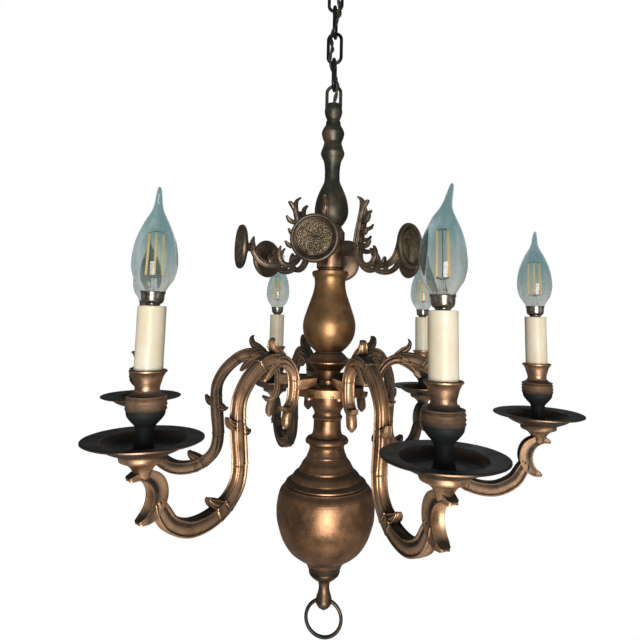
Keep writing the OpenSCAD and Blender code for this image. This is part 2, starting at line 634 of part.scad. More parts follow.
module candle_cup(i) {
    b = cup_d / 2;
    rim = cup_rim_d / 2;
    h = cup_h;
    pocket_r = sleeve_d / 2 + sleeve_gap;
    pocket = h - sleeve_seat - seat_gap;
    profile = concat([[rim - 0.6, h], [rim, h - 0.6], [rim, h - 1.6]],
        smooth([[rim - 1, h - 2.4], [rim - 2, h - 4], [11.4, h - 6], [10.4, h - 9.6], [9.4, h - 13.6],
            [9.8, h - 16.4], [12.6, h - 19]], 3),
        [[b - 0.6, h - 19.6], [b - 0.2, h - 20.4], [b - 1, h - 21.4], [b, h - 23], [b - 0.6, h - 24.6],
        [b + 0.1, h - 26.2], [b - 0.6, h - 27.8], [b, h - 29.4], [b - 0.9, h - 31]],
        smooth([[b - 0.9, h - 31], [b - 1.6, h - 34.6], [b - 4.4, h - 38.4], [8.4, h - 41.4]], 3),
        smooth([[7.2, h - 43], [6.6, 13], [6.8, 7], [7.6, 2.4], [8.6, 0]], 3));
    color("#6a4d2f") at_candle(i) translate([0, 0, z_cup_seat + seat_gap]) rotate_extrude($fn = 96)
        polygon(concat([[nipple_hole_d / 2, pocket], [pocket_r, pocket], [pocket_r, h]], profile,
            [[nipple_hole_d / 2, 0]]));
}

module ring_tube(outer_d, inner_d, foot, top) {
    rotate_extrude($fn = 64) translate([inner_d / 2, foot]) square([(outer_d - inner_d) / 2, top - foot]);
}

module sleeve(i) {
    color("#f6e6c8") at_candle(i)
        ring_tube(sleeve_d, sleeve_d - 2 * sleeve_wall, z_sleeve + seat_gap, z_sleeve_top);
}

module candle_nipples() {
    color("#8f8f8c") for (i = [0 : arm_count - 1]) at_candle(i)
        ring_tube(nipple_d, tube_bore, z_pan - seat_drop - 2 + seat_gap, nipple_top);
}

module sockets() {
    foot = z_sleeve + 1;
    top = z_sleeve_top - socket_drop;
    base_foot = z_collar - base_l - contact_gap;
    color("#d8d2c4") for (i = [0 : arm_count - 1]) at_candle(i) difference() {
        translate([0, 0, foot]) cylinder(d = socket_d, h = top - foot, $fn = 64);
        translate([0, 0, base_foot]) cylinder(d = socket_bore, h = base_l + 5, $fn = 64);
        translate([0, 0, z_sleeve])
            cylinder(d = nipple_hole_d, h = nipple_top - z_sleeve + seat_gap, $fn = 48);
        translate([0, 0, z_sleeve]) cylinder(d = wire_hole_d, h = base_foot - z_sleeve + 1, $fn = 32);
    }
}

// ---------- Bulbs ----------

// The direction in which each flame tip leans, from its arm's own direction.
tip_angles = [60, 40, -112, 10, 60, 70];
filament_foot = 14;
filament_top = 45;

module bulb_base(i) {
    r = base_d / 2;
    c = collar_d / 2;
    pitch = 2.54;
    threads = [for (k = [0 : floor((base_l - 6) / pitch) - 1], side = [0 : 3])
        [r - [0.9, 0, 0, 0.9][side], -2 - pitch * (k + side / 4)]];
    color("#b9b6ac") at_candle(i) translate([0, 0, z_collar]) {
        rotate_extrude($fn = 64) polygon(concat(
            [[0, collar_h], [c, collar_h], [c, collar_h - 1.4], [c - 0.6, collar_h - 2], [c - 0.8, 3.4],
            [r + 0.5, 0.4], [r, 0]], threads,
            [[r - 0.9, -base_l + 4], [3, -base_l + 1.6], [2.4, -base_l], [0, -base_l]]));
        // glass stem with its filaments
        translate([0, 0, collar_h]) {
            rotate_extrude($fn = 32) polygon([[0, 0], [4.6, 0], [3.6, 4], [2.4, 8.5], [2.4, 12],
                [1.2, 13.4], [0.9, 15], [0.9, filament_top + 1], [0, filament_top + 2]]);
            for (k = [0 : 3]) rotate(45 + 90 * k) {
                translate([5.4, 0, filament_foot]) rotate([0, -2, 0])
                    cylinder(d = 2, h = filament_top - filament_foot, $fn = 16);
                translate([0, 0, filament_foot]) rotate([0, 90, 0]) cylinder(d = 0.8, h = 5.8, $fn = 12);
                translate([0, 0, filament_top - 0.6]) rotate([0, 90, 0])
                    cylinder(d = 0.8, h = 5, $fn = 12);
            }
        }
    }
}
// Flame-shaped glass: [radius, height as a share of the glass, share of the tip's lean].
flame_outline = smooth([[9.2, 0, 0], [11.2, 0.045, 0], [14.2, 0.12, 0], [bulb_d / 2 - 0.9, 0.2, 0],
    [bulb_d / 2, 0.28, 0], [bulb_d / 2 - 1.2, 0.42, 0], [14, 0.53, -0.02], [11, 0.63, -0.03],
    [8, 0.705, 0], [5.2, 0.77, 0.1], [3.6, 0.84, 0.36], [2.7, 0.905, 0.66], [2, 0.965, 0.94],
    [0.9, 1, 1]], 2);
function flame(inset) = [for (p = flame_outline)
    if (p[0] - inset > 0.35) [p[0] - inset, p[1] * bulb_h, p[2] * tip_lean]];
module flame_body(inset) {
    s = flame(inset);
    sides = 20;
    rings = [for (p = s, j = [0 : sides - 1])
        let (a = 360 * j / sides) [p[2] + p[0] * cos(a), p[0] * sin(a), max(p[1], inset)]];
    polyhedron(rings, skin_faces(len(s), sides));
}
module bulb_glass(i) {
    color("#a9c6cc", 0.4) at_candle(i)
        translate([0, 0, z_collar + collar_h + seat_gap]) rotate(tip_angles[i]) difference() {
            flame_body(0);
            flame_body(glass_wall);
            translate([0, 0, -1]) cylinder(r = 6.4, h = 3, $fn = 20);
        }
}

// ---------- Nodes ----------

canopy();
ceiling_bar();
canopy_loop();
supply_cord();
for (i = [1 : link_count]) chain_link(i - 1);
hanger_loop();
upper_baluster();
reflector_hub();
reflector_brackets();
reflectors();
vase();
arm_cap();
arm_plate();
arm_screws();
drum();
ball();
finial();
pull_ring();
column_tube();
candle_nipples();
sockets();
for (i = [1 : arm_count]) {
    arm(i - 1);
    drip_pan(i - 1);
    candle_cup(i - 1);
    sleeve(i - 1);
    bulb_base(i - 1);
    bulb_glass(i - 1);
}
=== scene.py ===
"""Six-arm cast brass chandelier: the looks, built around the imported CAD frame.

Shape lists are in millimetres and MM turns them into the scene's metres. A band is a list of
(distance from the axis, height, half thickness) points in the upright plane of an arm or bracket.
Arm heights start from the plane of the pans' rims, bracket heights from the discs' middle, and bulb
heights from the foot of the glass.
"""
import math

import bpy
import numpy as np
from mathutils import Matrix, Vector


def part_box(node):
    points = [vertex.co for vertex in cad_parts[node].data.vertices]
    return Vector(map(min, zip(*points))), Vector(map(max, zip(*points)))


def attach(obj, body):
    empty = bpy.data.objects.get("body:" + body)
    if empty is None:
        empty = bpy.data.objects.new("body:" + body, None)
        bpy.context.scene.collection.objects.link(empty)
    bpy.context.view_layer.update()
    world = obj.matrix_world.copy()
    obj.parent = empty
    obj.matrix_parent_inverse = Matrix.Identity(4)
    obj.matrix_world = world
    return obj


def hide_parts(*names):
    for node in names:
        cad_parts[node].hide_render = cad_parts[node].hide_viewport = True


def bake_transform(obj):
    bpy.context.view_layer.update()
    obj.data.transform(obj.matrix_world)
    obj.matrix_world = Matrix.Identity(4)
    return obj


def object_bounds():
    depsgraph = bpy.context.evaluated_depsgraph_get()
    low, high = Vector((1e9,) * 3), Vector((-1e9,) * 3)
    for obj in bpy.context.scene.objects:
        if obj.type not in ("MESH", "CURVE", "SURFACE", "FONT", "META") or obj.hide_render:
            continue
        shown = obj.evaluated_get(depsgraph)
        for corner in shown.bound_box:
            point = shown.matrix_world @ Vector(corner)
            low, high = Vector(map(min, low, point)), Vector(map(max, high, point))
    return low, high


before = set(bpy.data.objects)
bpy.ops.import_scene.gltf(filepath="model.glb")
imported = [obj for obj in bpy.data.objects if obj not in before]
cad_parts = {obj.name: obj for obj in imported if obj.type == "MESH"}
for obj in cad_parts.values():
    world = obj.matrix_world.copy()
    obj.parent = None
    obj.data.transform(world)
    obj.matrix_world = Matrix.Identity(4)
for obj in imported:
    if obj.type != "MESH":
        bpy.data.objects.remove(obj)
cad_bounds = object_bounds()

MM = 0.001
ARMS = 6
ARM_STEP = math.tau / ARMS

# ---------- Places, from the frame ----------


def box_mm(node):
    low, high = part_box(node)
    return np.array(low) / MM, np.array(high) / MM


RIM_CROWN = 0.4          # the pan's rim rises this far over the plane that arm heights start from
SEAT_GAP = 0.1
PAN_Z = box_mm("drip_pan_1")[1][2] - RIM_CROWN
CANDLE_R = box_mm("sleeve_1")[0][0] / 2 + box_mm("sleeve_1")[1][0] / 2
SLEEVE_FOOT, SLEEVE_TOP = box_mm("sleeve_1")[0][2], box_mm("sleeve_1")[1][2]
SLEEVE_R = (box_mm("sleeve_1")[1][0] - box_mm("sleeve_1")[0][0]) / 2
REFLECTOR_FRONT = -box_mm("reflectors")[0][1]
REFLECTOR_Z = (box_mm("reflectors")[0][2] + box_mm("reflectors")[1][2]) / 2
GLASS_FOOT = box_mm("bulb_glass_1")[0][2]

# ---------- Mesh helpers ----------


def spline(points, steps):
    """A Catmull-Rom curve through points, with that many steps between each two."""
    p = np.array(points, float)
    last = len(p) - 1
    out = []
    for i in range(last):
        a, b, c, d = p[max(i - 1, 0)], p[i], p[i + 1], p[min(i + 2, last)]
        for t in np.arange(steps) / steps:
            out.append(0.5 * (2 * b + (c - a) * t + (2 * a - 5 * b + 4 * c - d) * t**2
                              + (3 * b - a - 3 * c + d) * t**3))
    out.append(p[last])
    return np.array(out)


class Shape:
    """Vertices in millimetres and faces, gathered before they become one object."""

    def __init__(self):
        self.verts = []
        self.faces = []

    def add(self, verts, faces):
        start = len(self.verts)
        self.verts.extend([tuple(v) for v in verts])
        self.faces.extend([[start + i for i in f] for f in faces])
        return self

    def turned(self, angle, shift=(0, 0, 0)):
        """A copy, moved by shift and then turned about the chandelier's axis."""
        v = np.array(self.verts) + np.array(shift)
        c, s = math.cos(angle), math.sin(angle)
        copy = Shape()
        copy.verts = [tuple(p) for p in v @ np.array([[c, s, 0], [-s, c, 0], [0, 0, 1]])]
        copy.faces = self.faces
        return copy

    def object(self, name, material, sharp=45):
        mesh = bpy.data.meshes.new(name)
        mesh.from_pydata([(x * MM, y * MM, z * MM) for x, y, z in self.verts], [], self.faces)
        mesh.validate()
        mesh.materials.append(material)
        mesh.polygons.foreach_set("use_smooth", [True] * len(mesh.polygons))
        mesh.set_sharp_from_angle(angle=math.radians(sharp))
        obj = bpy.data.objects.new(name, mesh)
        bpy.context.scene.collection.objects.link(obj)
        return obj


def rings(ring_list, wrap=False):
    """Verts and faces of a skin over rings that all have as many points. Its ends are closed, or it wraps
    round from the last ring to the first. The faces point outwards where the rings run clockwise, seen
    along the way from the first ring to the last."""
    n = len(ring_list[0])
    verts = [p for ring in ring_list for p in ring]
    faces = []
    count = len(ring_list)
    for i in range(count if wrap else count - 1):
        a, b = i * n, (i + 1) % count * n
        for j in range(n):
            k = (j + 1) % n
            faces.append([a + j, a + k, b + k, b + j])
    if not wrap:
        for i, order in ((0, 1), (count - 1, -1)):
            centre = len(verts)
            verts.append(np.mean(ring_list[i], axis=0))
            for j in range(n):
                k = (j + 1) % n
                pair = [i * n + k, i * n + j] if order == 1 else [i * n + j, i * n + k]
                faces.append([centre] + pair)
    return verts, faces


def lathe(profile, segments):
    """A profile of (radius, height) points turned about the z axis. From the top down, its faces point
    outwards."""
    ring_list = []
    for r, z in profile:
        r = max(r, 0.001)
        ring_list.append([(r * math.cos(-math.tau * j / segments), r * math.sin(-math.tau * j / segments), z)
                          for j in range(segments)])
    return rings(ring_list)


def tube(path, radius, sides):
    """A round tube along a path."""
    p = np.array(path, float)
    ahead = np.roll(p, -1, axis=0) - np.roll(p, 1, axis=0)
    ahead[0], ahead[-1] = p[1] - p[0], p[-1] - p[-2]
    ahead /= np.linalg.norm(ahead, axis=1)[:, None]
    side = np.cross(ahead[0], (0.13, 0.97, 0.21))
    ring_list = []
    for i in range(len(p)):
        side = side - ahead[i] * np.dot(side, ahead[i])
        side /= np.linalg.norm(side)
        other = np.cross(ahead[i], side)
        ring_list.append([p[i] + radius * (side * math.cos(a) + other * math.sin(a))
                          for a in math.tau * np.arange(sides) / sides])
    return rings(ring_list)


# ---------- Cast bands ----------

RAIL_FULL = 4.5          # half thickness at which a band's rails reach full size


def mirrored(quarter):
    """A closed outline from its quarter, which goes from the u axis to the v axis."""
    half = quarter + [(-u, v) for u, v in quarter[-2::-1]]
    return half + [(u, -v) for u, v in half[-2:0:-1]]


def rail_section(h, w):
    """Outline (across the plane of the arm, half thickness h by half width w): a crowned face between
    two round rails, and a groove and a flat flute on each side."""
    t = min(1.0, h / RAIL_FULL)
    quarter = [(h + 0.7 * t, 0), (h + 0.6 * t, 0.22 * w), (h + 0.15 * t, 0.42 * w), (h - 0.8 * t, 0.55 * w),
               (h - 0.75 * t, 0.62 * w), (h + 0.1 * t, 0.71 * w), (h + 0.45 * t, 0.8 * w),
               (h + 0.3 * t, 0.91 * w), (h - 0.35 * t, w), (h - 1.1 * t, w - 0.1 * t),
               (h - 1.5 * t, w - 0.85 * t), (h - 2.1 * t, w - 1.35 * t), (h - 2.7 * t, w - 1.15 * t),
               (0.3 * h, w - 0.6 * t), (0, w - 0.45 * t)]
    return mirrored(quarter)


def trough_section(h, w):
    """Outline with a smooth hollow face between two thin rims, on both sides."""
    t = min(1.0, h / RAIL_FULL)
    quarter = [(h - 1.5 * t, 0), (h - 1.35 * t, 0.3 * w), (h - 0.85 * t, 0.58 * w), (h - 0.1 * t, 0.8 * w),
               (h + 0.35 * t, 0.91 * w), (h + 0.3 * t, 0.98 * w), (h - 0.4 * t, w), (0.55 * h, w - 0.5 * t),
               (0.25 * h, w - 0.9 * t), (0, w - t)]
    return mirrored(quarter)


BUD_WIDEST = 1.1         # half width of a round band, as a share of its half thickness


def round_section(h, w, sides=24):
    half_width = min(w, BUD_WIDEST * h)
    return [(h * math.cos(a), half_width * math.sin(a)) for a in math.tau * np.arange(sides) / sides]


SEAM_GROOVE = 0.55       # depth and half length of a seam across an arm
SEAM_HALF = 0.7
SEAM_LIP = 0.5           # the sheath edge that stands over a seam, and its length
SEAM_LIP_LENGTH = 6.0


def seam_offset(s, seams):
    """How far the skin stands out at length s, near the seams."""
    out = 0.0
    for at in seams:
        d = s - at
        if abs(d) < SEAM_HALF:
            out -= SEAM_GROOVE * (1 - abs(d) / SEAM_HALF)
        if -SEAM_LIP_LENGTH < d <= 0:
            out += SEAM_LIP * (1 + d / SEAM_LIP_LENGTH) ** 2
    return out


BAND_STEPS = 24
TAPER_FULL = 3.0         # half thickness at which a band has its full width
TAPER_LEAST = 0.3        # share of the width that is left where the thickness runs out
TAPER_CURVE = 0.6
ROUND_END = ((0.82, 0.35), (0.45, 0.62))        # (share of the section, reach) of an end's two rings


def band(shape, points, width, section=rail_section, seams=(), step=1.6):
    """Adds a cast band along points. seams are (distance, height) places where a seam crosses it. Its
    outlines run against the way that rings asks for, so a band's faces point inwards."""
    dense = spline(points, BAND_STEPS)
    lengths = np.concatenate([[0], np.cumsum(np.linalg.norm(np.diff(dense[:, :2], axis=0), axis=1))])
    at = [lengths[np.argmin(np.linalg.norm(dense[:, :2] - np.array(s), axis=1))] for s in seams]
    samples = list(np.linspace(0, lengths[-1], max(int(lengths[-1] / step), 6)))
    for s in at:
        samples += [s - 2 * SEAM_HALF, s - SEAM_HALF, s - SEAM_HALF / 2, s, s + SEAM_HALF / 2, s + SEAM_HALF]
    samples = np.array(sorted(x for x in samples if 0 <= x <= lengths[-1]))
    samples = samples[np.concatenate([[True], np.diff(samples) > 0.05])]
    x, z, h = (np.interp(samples, lengths, dense[:, k]) for k in range(3))
    ring_list = []
    for i in range(len(samples)):
        a, b = max(i - 1, 0), min(i + 1, len(samples) - 1)
        along = np.array([x[b] - x[a], z[b] - z[a]])
        along /= np.linalg.norm(along)
        out = np.array([-along[1], along[0]])
        lift = seam_offset(samples[i], at)
        taper = min(1, h[i] / TAPER_FULL) ** TAPER_CURVE
        w = width / 2 * (TAPER_LEAST + (1 - TAPER_LEAST) * taper)
        outline = section(h[i] + lift, w + lift)
        ring_list.append([(x[i] + out[0] * u, v, z[i] + out[1] * u) for u, v in outline])
        if i in (0, len(samples) - 1):
            way = -1 if i == 0 else 1
            caps = []
            for grow, ahead in ROUND_END:
                d = way * ahead * min(h[i], w)
                caps.append([(x[i] + out[0] * u * grow + along[0] * d, v * grow,
                              z[i] + out[1] * u * grow + along[1] * d) for u, v in outline])
            ring_list = caps[::-1] + ring_list if i == 0 else ring_list + caps
    shape.add(*rings(ring_list))


def block(shape, low, high, bevel):
    """A box with chamfered edges along its length (x)."""
    outline = []
    for sy, sz, order in ((1, 1, 0), (-1, 1, 1), (-1, -1, 0), (1, -1, 1)):
        y = high[1] if sy > 0 else low[1]
        z = high[2] if sz > 0 else low[2]
        pair = [(y, z - sz * bevel), (y - sy * bevel, z)]
        outline += pair[::-1] if order else pair
    mid = (np.array(low) + np.array(high)) / 2
    ring_list = []
    for x, shrink in ((low[0], bevel), (low[0] + bevel, 0), (high[0] - bevel, 0), (high[0], bevel)):
        ring = []
        for y, z in outline:
            ring.append((x, y - math.copysign(shrink, y - mid[1]) * (abs(y - mid[1]) > shrink),
                         z - math.copysign(shrink, z - mid[2]) * (abs(z - mid[2]) > shrink)))
        ring_list.append(ring)
    shape.add(*rings(ring_list))


# ---------- Materials ----------


class Nodes:
    """A node material under construction, with short calls for the nodes used here."""

    def __init__(self, name):
        self.material = bpy.data.materials.new(name)
        self.material.use_nodes = True
        self.tree = self.material.node_tree
        self.shader = self.tree.nodes["Principled BSDF"]
        self.output = self.tree.nodes["Material Output"]
        self.place = self.tree.nodes.new("ShaderNodeTexCoord").outputs["Object"]

    def put(self, socket, value):
        if isinstance(value, bpy.types.NodeSocket):
            self.tree.links.new(value, socket)
        else:
            socket.default_value = value

    def node(self, kind, inputs=(), **settings):
        n = self.tree.nodes.new(kind)
        for key, value in settings.items():
            setattr(n, key, value)
        for key, value in dict(inputs).items():
            self.put(n.inputs[key], value)
        return n

    def set(self, **values):
        for key, value in values.items():
            self.put(self.shader.inputs[key.replace("_", " ")], value)
        return self

    def noise(self, scale, detail, rough=0.55, distortion=0.0, stretch=None):
        place = self.place
        if stretch:
            place = self.node("ShaderNodeMapping", {"Vector": place, "Scale": stretch}).outputs[0]
        return self.node("ShaderNodeTexNoise", {"Vector": place, "Scale": scale, "Detail": detail,
                                                "Roughness": rough, "Distortion": distortion}).outputs[0]

    def math(self, operation, a, b, clamp=False):
        n = self.node("ShaderNodeMath", {0: a, 1: b}, operation=operation, use_clamp=clamp)
        return n.outputs[0]

    def ramp(self, value, low, high, to_low=0.0, to_high=1.0):
        return self.node("ShaderNodeMapRange", {"Value": value, "From Min": low, "From Max": high,
                                                "To Min": to_low, "To Max": to_high}).outputs[0]

    def mix(self, factor, a, b):
        n = self.node("ShaderNodeMix", data_type="RGBA")
        self.put(n.inputs[0], factor)
        self.put(n.inputs[6], a)
        self.put(n.inputs[7], b)
        return n.outputs[2]

    def bump(self, height, strength, distance):
        n = self.node("ShaderNodeBump", {"Height": height, "Strength": strength, "Distance": distance})
        self.set(Normal=n.outputs[0])


def rgb(r, g, b):
    return (r, g, b, 1.0)


SLATE_PATINA_AND_SHADE = rgb(0.012, 0.018, 0.019)     # the blue-black colour of patina and painted shade, on faces that look up, low on the cups and on inner faces
# near-black of the hollows: painted shade, with old polish and grime
CREVICE_DIRT_AND_SHADE = rgb(0.012, 0.009, 0.007)


def aged_metal(name, light, mid, dark, top=0.8, rough=0.36, rubbed=0.5, grain=1.0, hollow_reach=0.008,
               shade=None, sheltered_shade=0.0):
    """Old brass: cloudy tone, hollows darkened with grime and painted shade, a slate colour on top that is
    patina and painted shade, and rubbed edges. shade is a pair of heights in mm: the slate colour is painted
    on as shade, full at the first and gone at the second. sheltered is how much slate colour there is on
    sides and inner faces, as painted shade with some patina where no cloth reaches: what faces outwards or
    down stays worn."""
    m = Nodes(name)
    cloud = m.noise(16, 5, 0.6, 0.4)
    patch = m.noise(75, 5, 0.62, 0.2)
    fine = m.noise(520, 4, 0.6)
    tone = m.math("ADD", m.math("MULTIPLY", cloud, 0.5), m.math("ADD", m.math("MULTIPLY", patch, 0.34),
                                                             m.math("MULTIPLY", fine, 0.16)))
    colour = m.mix(m.ramp(tone, 0.36, 0.5), dark, mid)
    colour = m.mix(m.ramp(tone, 0.5, 0.64), colour, light)
    # rubbed edges: on bands and discs, whose faces point inwards, Pointiness finds the hollows instead
    geometry = m.node("ShaderNodeNewGeometry")
    edge = m.ramp(geometry.outputs["Pointiness"], 0.51, 0.57, 0.0, rubbed)
    colour = m.mix(m.math("MULTIPLY", edge, m.ramp(patch, 0.35, 0.6)), colour, light)
    # hollows are darkened: painted shade, with the old polish and grime that they hold
    hollow = m.node("ShaderNodeAmbientOcclusion", {"Distance": hollow_reach}, samples=8).outputs["AO"]
    dirt_and_shade = m.ramp(hollow, 0.3, 0.9, 0.95, 0.0)
    colour = m.mix(dirt_and_shade, colour, CREVICE_DIRT_AND_SHADE)
    # patina and painted shade on what looks up: top faces are darker
    up = m.node("ShaderNodeSeparateXYZ", {0: geometry.outputs["Normal"]}).outputs["Z"]
    patina_and_shade = m.math("MULTIPLY", m.ramp(up, 0.15, 0.8, 0.0, top), m.ramp(patch, 0.2, 0.55, 0.75, 1.0))
    # painted shade low down: the slate colour, darker towards the bottom
    if shade:
        height = m.node("ShaderNodeSeparateXYZ", {0: m.place}).outputs["Z"]
        patina_and_shade = m.math("MAXIMUM", patina_and_shade, m.ramp(height, shade[0] * MM, shade[1] * MM, 0.99, 0.0))
    # painted shade on faces that look in towards the axis or up, with some patina; rubbed edges keep part of
    # their tone
    if sheltered_shade:
        away = m.node("ShaderNodeVectorMath", {0: m.place, 1: (1, 1, 0)}, operation="MULTIPLY").outputs[0]
        away = m.node("ShaderNodeVectorMath", {0: away}, operation="NORMALIZE").outputs[0]
        facing = m.node("ShaderNodeVectorMath", {0: away, 1: geometry.outputs["Normal"]},
                        operation="DOT_PRODUCT").outputs["Value"]
        facing = m.math("SUBTRACT", facing, m.math("MULTIPLY", up, 0.7))
        inner = m.math("MULTIPLY", m.ramp(facing, 0.4, -0.15, 0.0, sheltered_shade),
                       m.ramp(patch, 0.3, 0.6, 0.75, 1.0))
        patina_and_shade = m.math("MAXIMUM", patina_and_shade, m.math("MULTIPLY", inner, m.ramp(edge, 0.0, 1.0, 1.0, 0.7)))
    colour = m.mix(patina_and_shade, colour, SLATE_PATINA_AND_SHADE)
    m.set(Base_Color=colour, Metallic=m.ramp(patina_and_shade, 0, 1, 1.0, 0.05), Specular_IOR_Level=0.22)
    m.set(Roughness=m.math("ADD", m.ramp(patch, 0.3, 0.7, rough - 0.05, rough + 0.1),
                           m.math("MULTIPLY", m.math("ADD", patina_and_shade, dirt_and_shade), 0.2)))
    pits = m.math("ADD", m.math("MULTIPLY", m.noise(1500, 3, 0.6), 0.5), m.math("MULTIPLY", patch, 1.2))
    m.bump(pits, 0.28 * grain, 0.0004)
    return m.material


def plain_steel(name):
    m = Nodes(name)
    brushed = m.noise(900, 3, 0.6, stretch=(1, 1, 0.05))
    m.set(Base_Color=m.mix(brushed, rgb(0.42, 0.42, 0.4), rgb(0.62, 0.62, 0.6)), Metallic=1.0,
          Roughness=m.ramp(brushed, 0.3, 0.7, 0.28, 0.45))
    m.bump(brushed, 0.1, 0.0001)
    return m.material


def nickel(name):
    m = Nodes(name)
    cloud = m.noise(160, 4, 0.6)
    spin = m.noise(700, 3, 0.6, stretch=(0.15, 0.15, 3))
    m.set(Base_Color=m.mix(m.ramp(cloud, 0.35, 0.65), rgb(0.2, 0.18, 0.15), rgb(0.5, 0.47, 0.41)),
          Metallic=1.0, Roughness=m.ramp(spin, 0.3, 0.7, 0.2, 0.36))
    m.bump(spin, 0.15, 0.0001)
    return m.material


def cream_sleeve(name):
    m = Nodes(name)
    cloud = m.noise(45, 4, 0.5)
    drip = m.noise(140, 3, 0.5, stretch=(1, 1, 0.12))
    stain = m.ramp(m.noise(330, 5, 0.7), 0.62, 0.74, 0.0, 0.35)
    colour = m.mix(m.ramp(cloud, 0.35, 0.65), rgb(0.95, 0.77, 0.55), rgb(1.0, 0.88, 0.7))
    m.set(Base_Color=m.mix(stain, colour, rgb(0.76, 0.56, 0.36)), Roughness=m.ramp(drip, 0.3, 0.7, 0.32, 0.5))
    m.set(Subsurface_Weight=0.25, Subsurface_Scale=0.004)
    m.shader.inputs["Subsurface Radius"].default_value = (1.0, 0.6, 0.35)
    m.bump(m.math("ADD", drip, cloud), 0.25, 0.0004)
    return m.material


def moulded(name, colour, dark):
    m = Nodes(name)
    cloud = m.noise(120, 4, 0.6)
    m.set(Base_Color=m.mix(m.ramp(cloud, 0.3, 0.7), dark, colour),
          Roughness=m.ramp(cloud, 0.3, 0.7, 0.4, 0.6))
    m.bump(m.noise(1400, 3), 0.15, 0.0001)
    return m.material


TINT_START, TINT_FULL = 2, 48      # heights over the glass's foot between which its tint changes


def clear_glass(name, foot_colour, top_colour, smoke_density):
    """Bulb glass: its tint changes from the foot to the top, with faint streaks and clearer patches."""
    m = Nodes(name)
    height = m.node("ShaderNodeSeparateXYZ", {0: m.place}).outputs["Z"]
    rise = m.ramp(height, (GLASS_FOOT + TINT_START) * MM, (GLASS_FOOT + TINT_FULL) * MM)
    streak = m.noise(60, 3, 0.5, 0.6, stretch=(1, 1, 0.3))
    tone = m.math("ADD", rise, m.ramp(streak, 0.3, 0.7, -0.25, 0.25), clamp=True)
    clear = m.ramp(m.noise(44, 3, 0.5, 0.8, stretch=(1, 1, 0.22)), 0.52, 0.66, 0.0, 0.7)
    colour = m.mix(clear, m.mix(tone, foot_colour, top_colour), rgb(0.8, 0.83, 0.82))
    m.set(Base_Color=colour, Roughness=m.ramp(streak, 0.4, 0.8, 0.015, 0.05))
    m.set(Transmission_Weight=1.0, IOR=1.45, Metallic=0.0)
    m.bump(streak, 0.02, 0.0003)
    smoke = m.node("ShaderNodeVolumeAbsorption", {"Color": rgb(0.6, 0.76, 0.79), "Density": smoke_density})
    m.tree.links.new(smoke.outputs[0], m.output.inputs["Volume"])
    return m.material


def glowing_phosphor(name):
    m = Nodes(name)
    dots = m.node("ShaderNodeTexVoronoi", {"Vector": m.place, "Scale": 900.0}).outputs["Distance"]
    colour = m.mix(m.ramp(dots, 0.2, 0.7), rgb(1.0, 0.72, 0.34), rgb(0.98, 0.6, 0.2))
    # the emission paints a glow on the filaments, though the bulbs are not lit
    m.set(Base_Color=colour, Roughness=0.55, Emission_Color=colour, Emission_Strength=0.55)
    m.bump(dots, 0.3, 0.0002)
    return m.material


# aged_metal takes the rubbed, the usual and the darkest tone
GOLD = aged_metal("brass_golden", rgb(0.54, 0.31, 0.145), rgb(0.39, 0.215, 0.098), rgb(0.24, 0.13, 0.06),
                  rough=0.42)
PLATE = aged_metal("brass_plate", rgb(0.58, 0.36, 0.18), rgb(0.38, 0.22, 0.105), rgb(0.18, 0.11, 0.056))
BRONZE = aged_metal("brass_bronze", rgb(0.55, 0.31, 0.175), rgb(0.335, 0.185, 0.1), rgb(0.15, 0.083, 0.047))
BROWN = aged_metal("brass_brown", rgb(0.58, 0.33, 0.18), rgb(0.34, 0.185, 0.1), rgb(0.15, 0.082, 0.048))
ARM = aged_metal("brass_arms", rgb(1.0, 0.66, 0.41), rgb(0.66, 0.39, 0.22), rgb(0.17, 0.105, 0.064),
                 rough=0.4, rubbed=0.55, top=0.98, grain=1.6, sheltered_shade=0.98)
DARK = aged_metal("brass_dark", rgb(0.32, 0.205, 0.13), rgb(0.135, 0.09, 0.06), rgb(0.048, 0.039, 0.032),
                  top=1.0)
# the cups get painted shade low down, near the pans
CUP = aged_metal("brass_cups", rgb(0.74, 0.46, 0.29), rgb(0.42, 0.255, 0.16), rgb(0.15, 0.1, 0.07),
                 top=0.95, rough=0.4, shade=(PAN_Z + 20, PAN_Z + 31))
TIER = aged_metal("brass_tier", rgb(0.62, 0.38, 0.235), rgb(0.3, 0.185, 0.122), rgb(0.085, 0.064, 0.05),
                  rubbed=0.7)
BRACKET_METAL = aged_metal("brass_brackets", rgb(0.6, 0.42, 0.28), rgb(0.22, 0.165, 0.12),
                           rgb(0.06, 0.062, 0.055), rubbed=0.7, top=0.95, sheltered_shade=0.6)
DISC_METAL = aged_metal("brass_discs", rgb(0.42, 0.29, 0.19), rgb(0.2, 0.155, 0.112),
                        rgb(0.085, 0.078, 0.064), rubbed=0.5, rough=0.46, top=0.5)
ROSETTE = aged_metal("brass_rosette", rgb(0.8, 0.64, 0.43), rgb(0.2, 0.15, 0.1), rgb(0.055, 0.048, 0.036),
                     rubbed=1.0, rough=0.44, hollow_reach=0.0014)
# the stem's and chain's tones are darker than the other brass: painted shade on the upper column and chain,
# which get less light
STEM = aged_metal("brass_stem", rgb(0.32, 0.21, 0.13), rgb(0.115, 0.112, 0.09), rgb(0.034, 0.054, 0.053),
                  top=0.9, rough=0.46)
CHAIN = aged_metal("brass_chain", rgb(0.17, 0.12, 0.08), rgb(0.055, 0.052, 0.044), rgb(0.022, 0.03, 0.029),
                   top=0.85, grain=1.8)
STEEL = plain_steel("zinc_steel")
NICKEL = nickel("nickel")
SLEEVE = cream_sleeve("cream_sleeve")
SOCKET = moulded("socket_body", rgb(0.75, 0.7, 0.6), rgb(0.6, 0.55, 0.46))
CORD = moulded("cord_sheath", rgb(0.06, 0.05, 0.04), rgb(0.025, 0.028, 0.026))
GLASS = clear_glass("bulb_glass", rgb(0.72, 0.69, 0.65), rgb(0.42, 0.53, 0.54), 330.0)
STEM_GLASS = clear_glass("stem_glass", rgb(0.9, 0.92, 0.92), rgb(0.9, 0.92, 0.92), 30.0)
FILAMENT = glowing_phosphor("filament")

# ---------- CAD nodes that keep their shape ----------

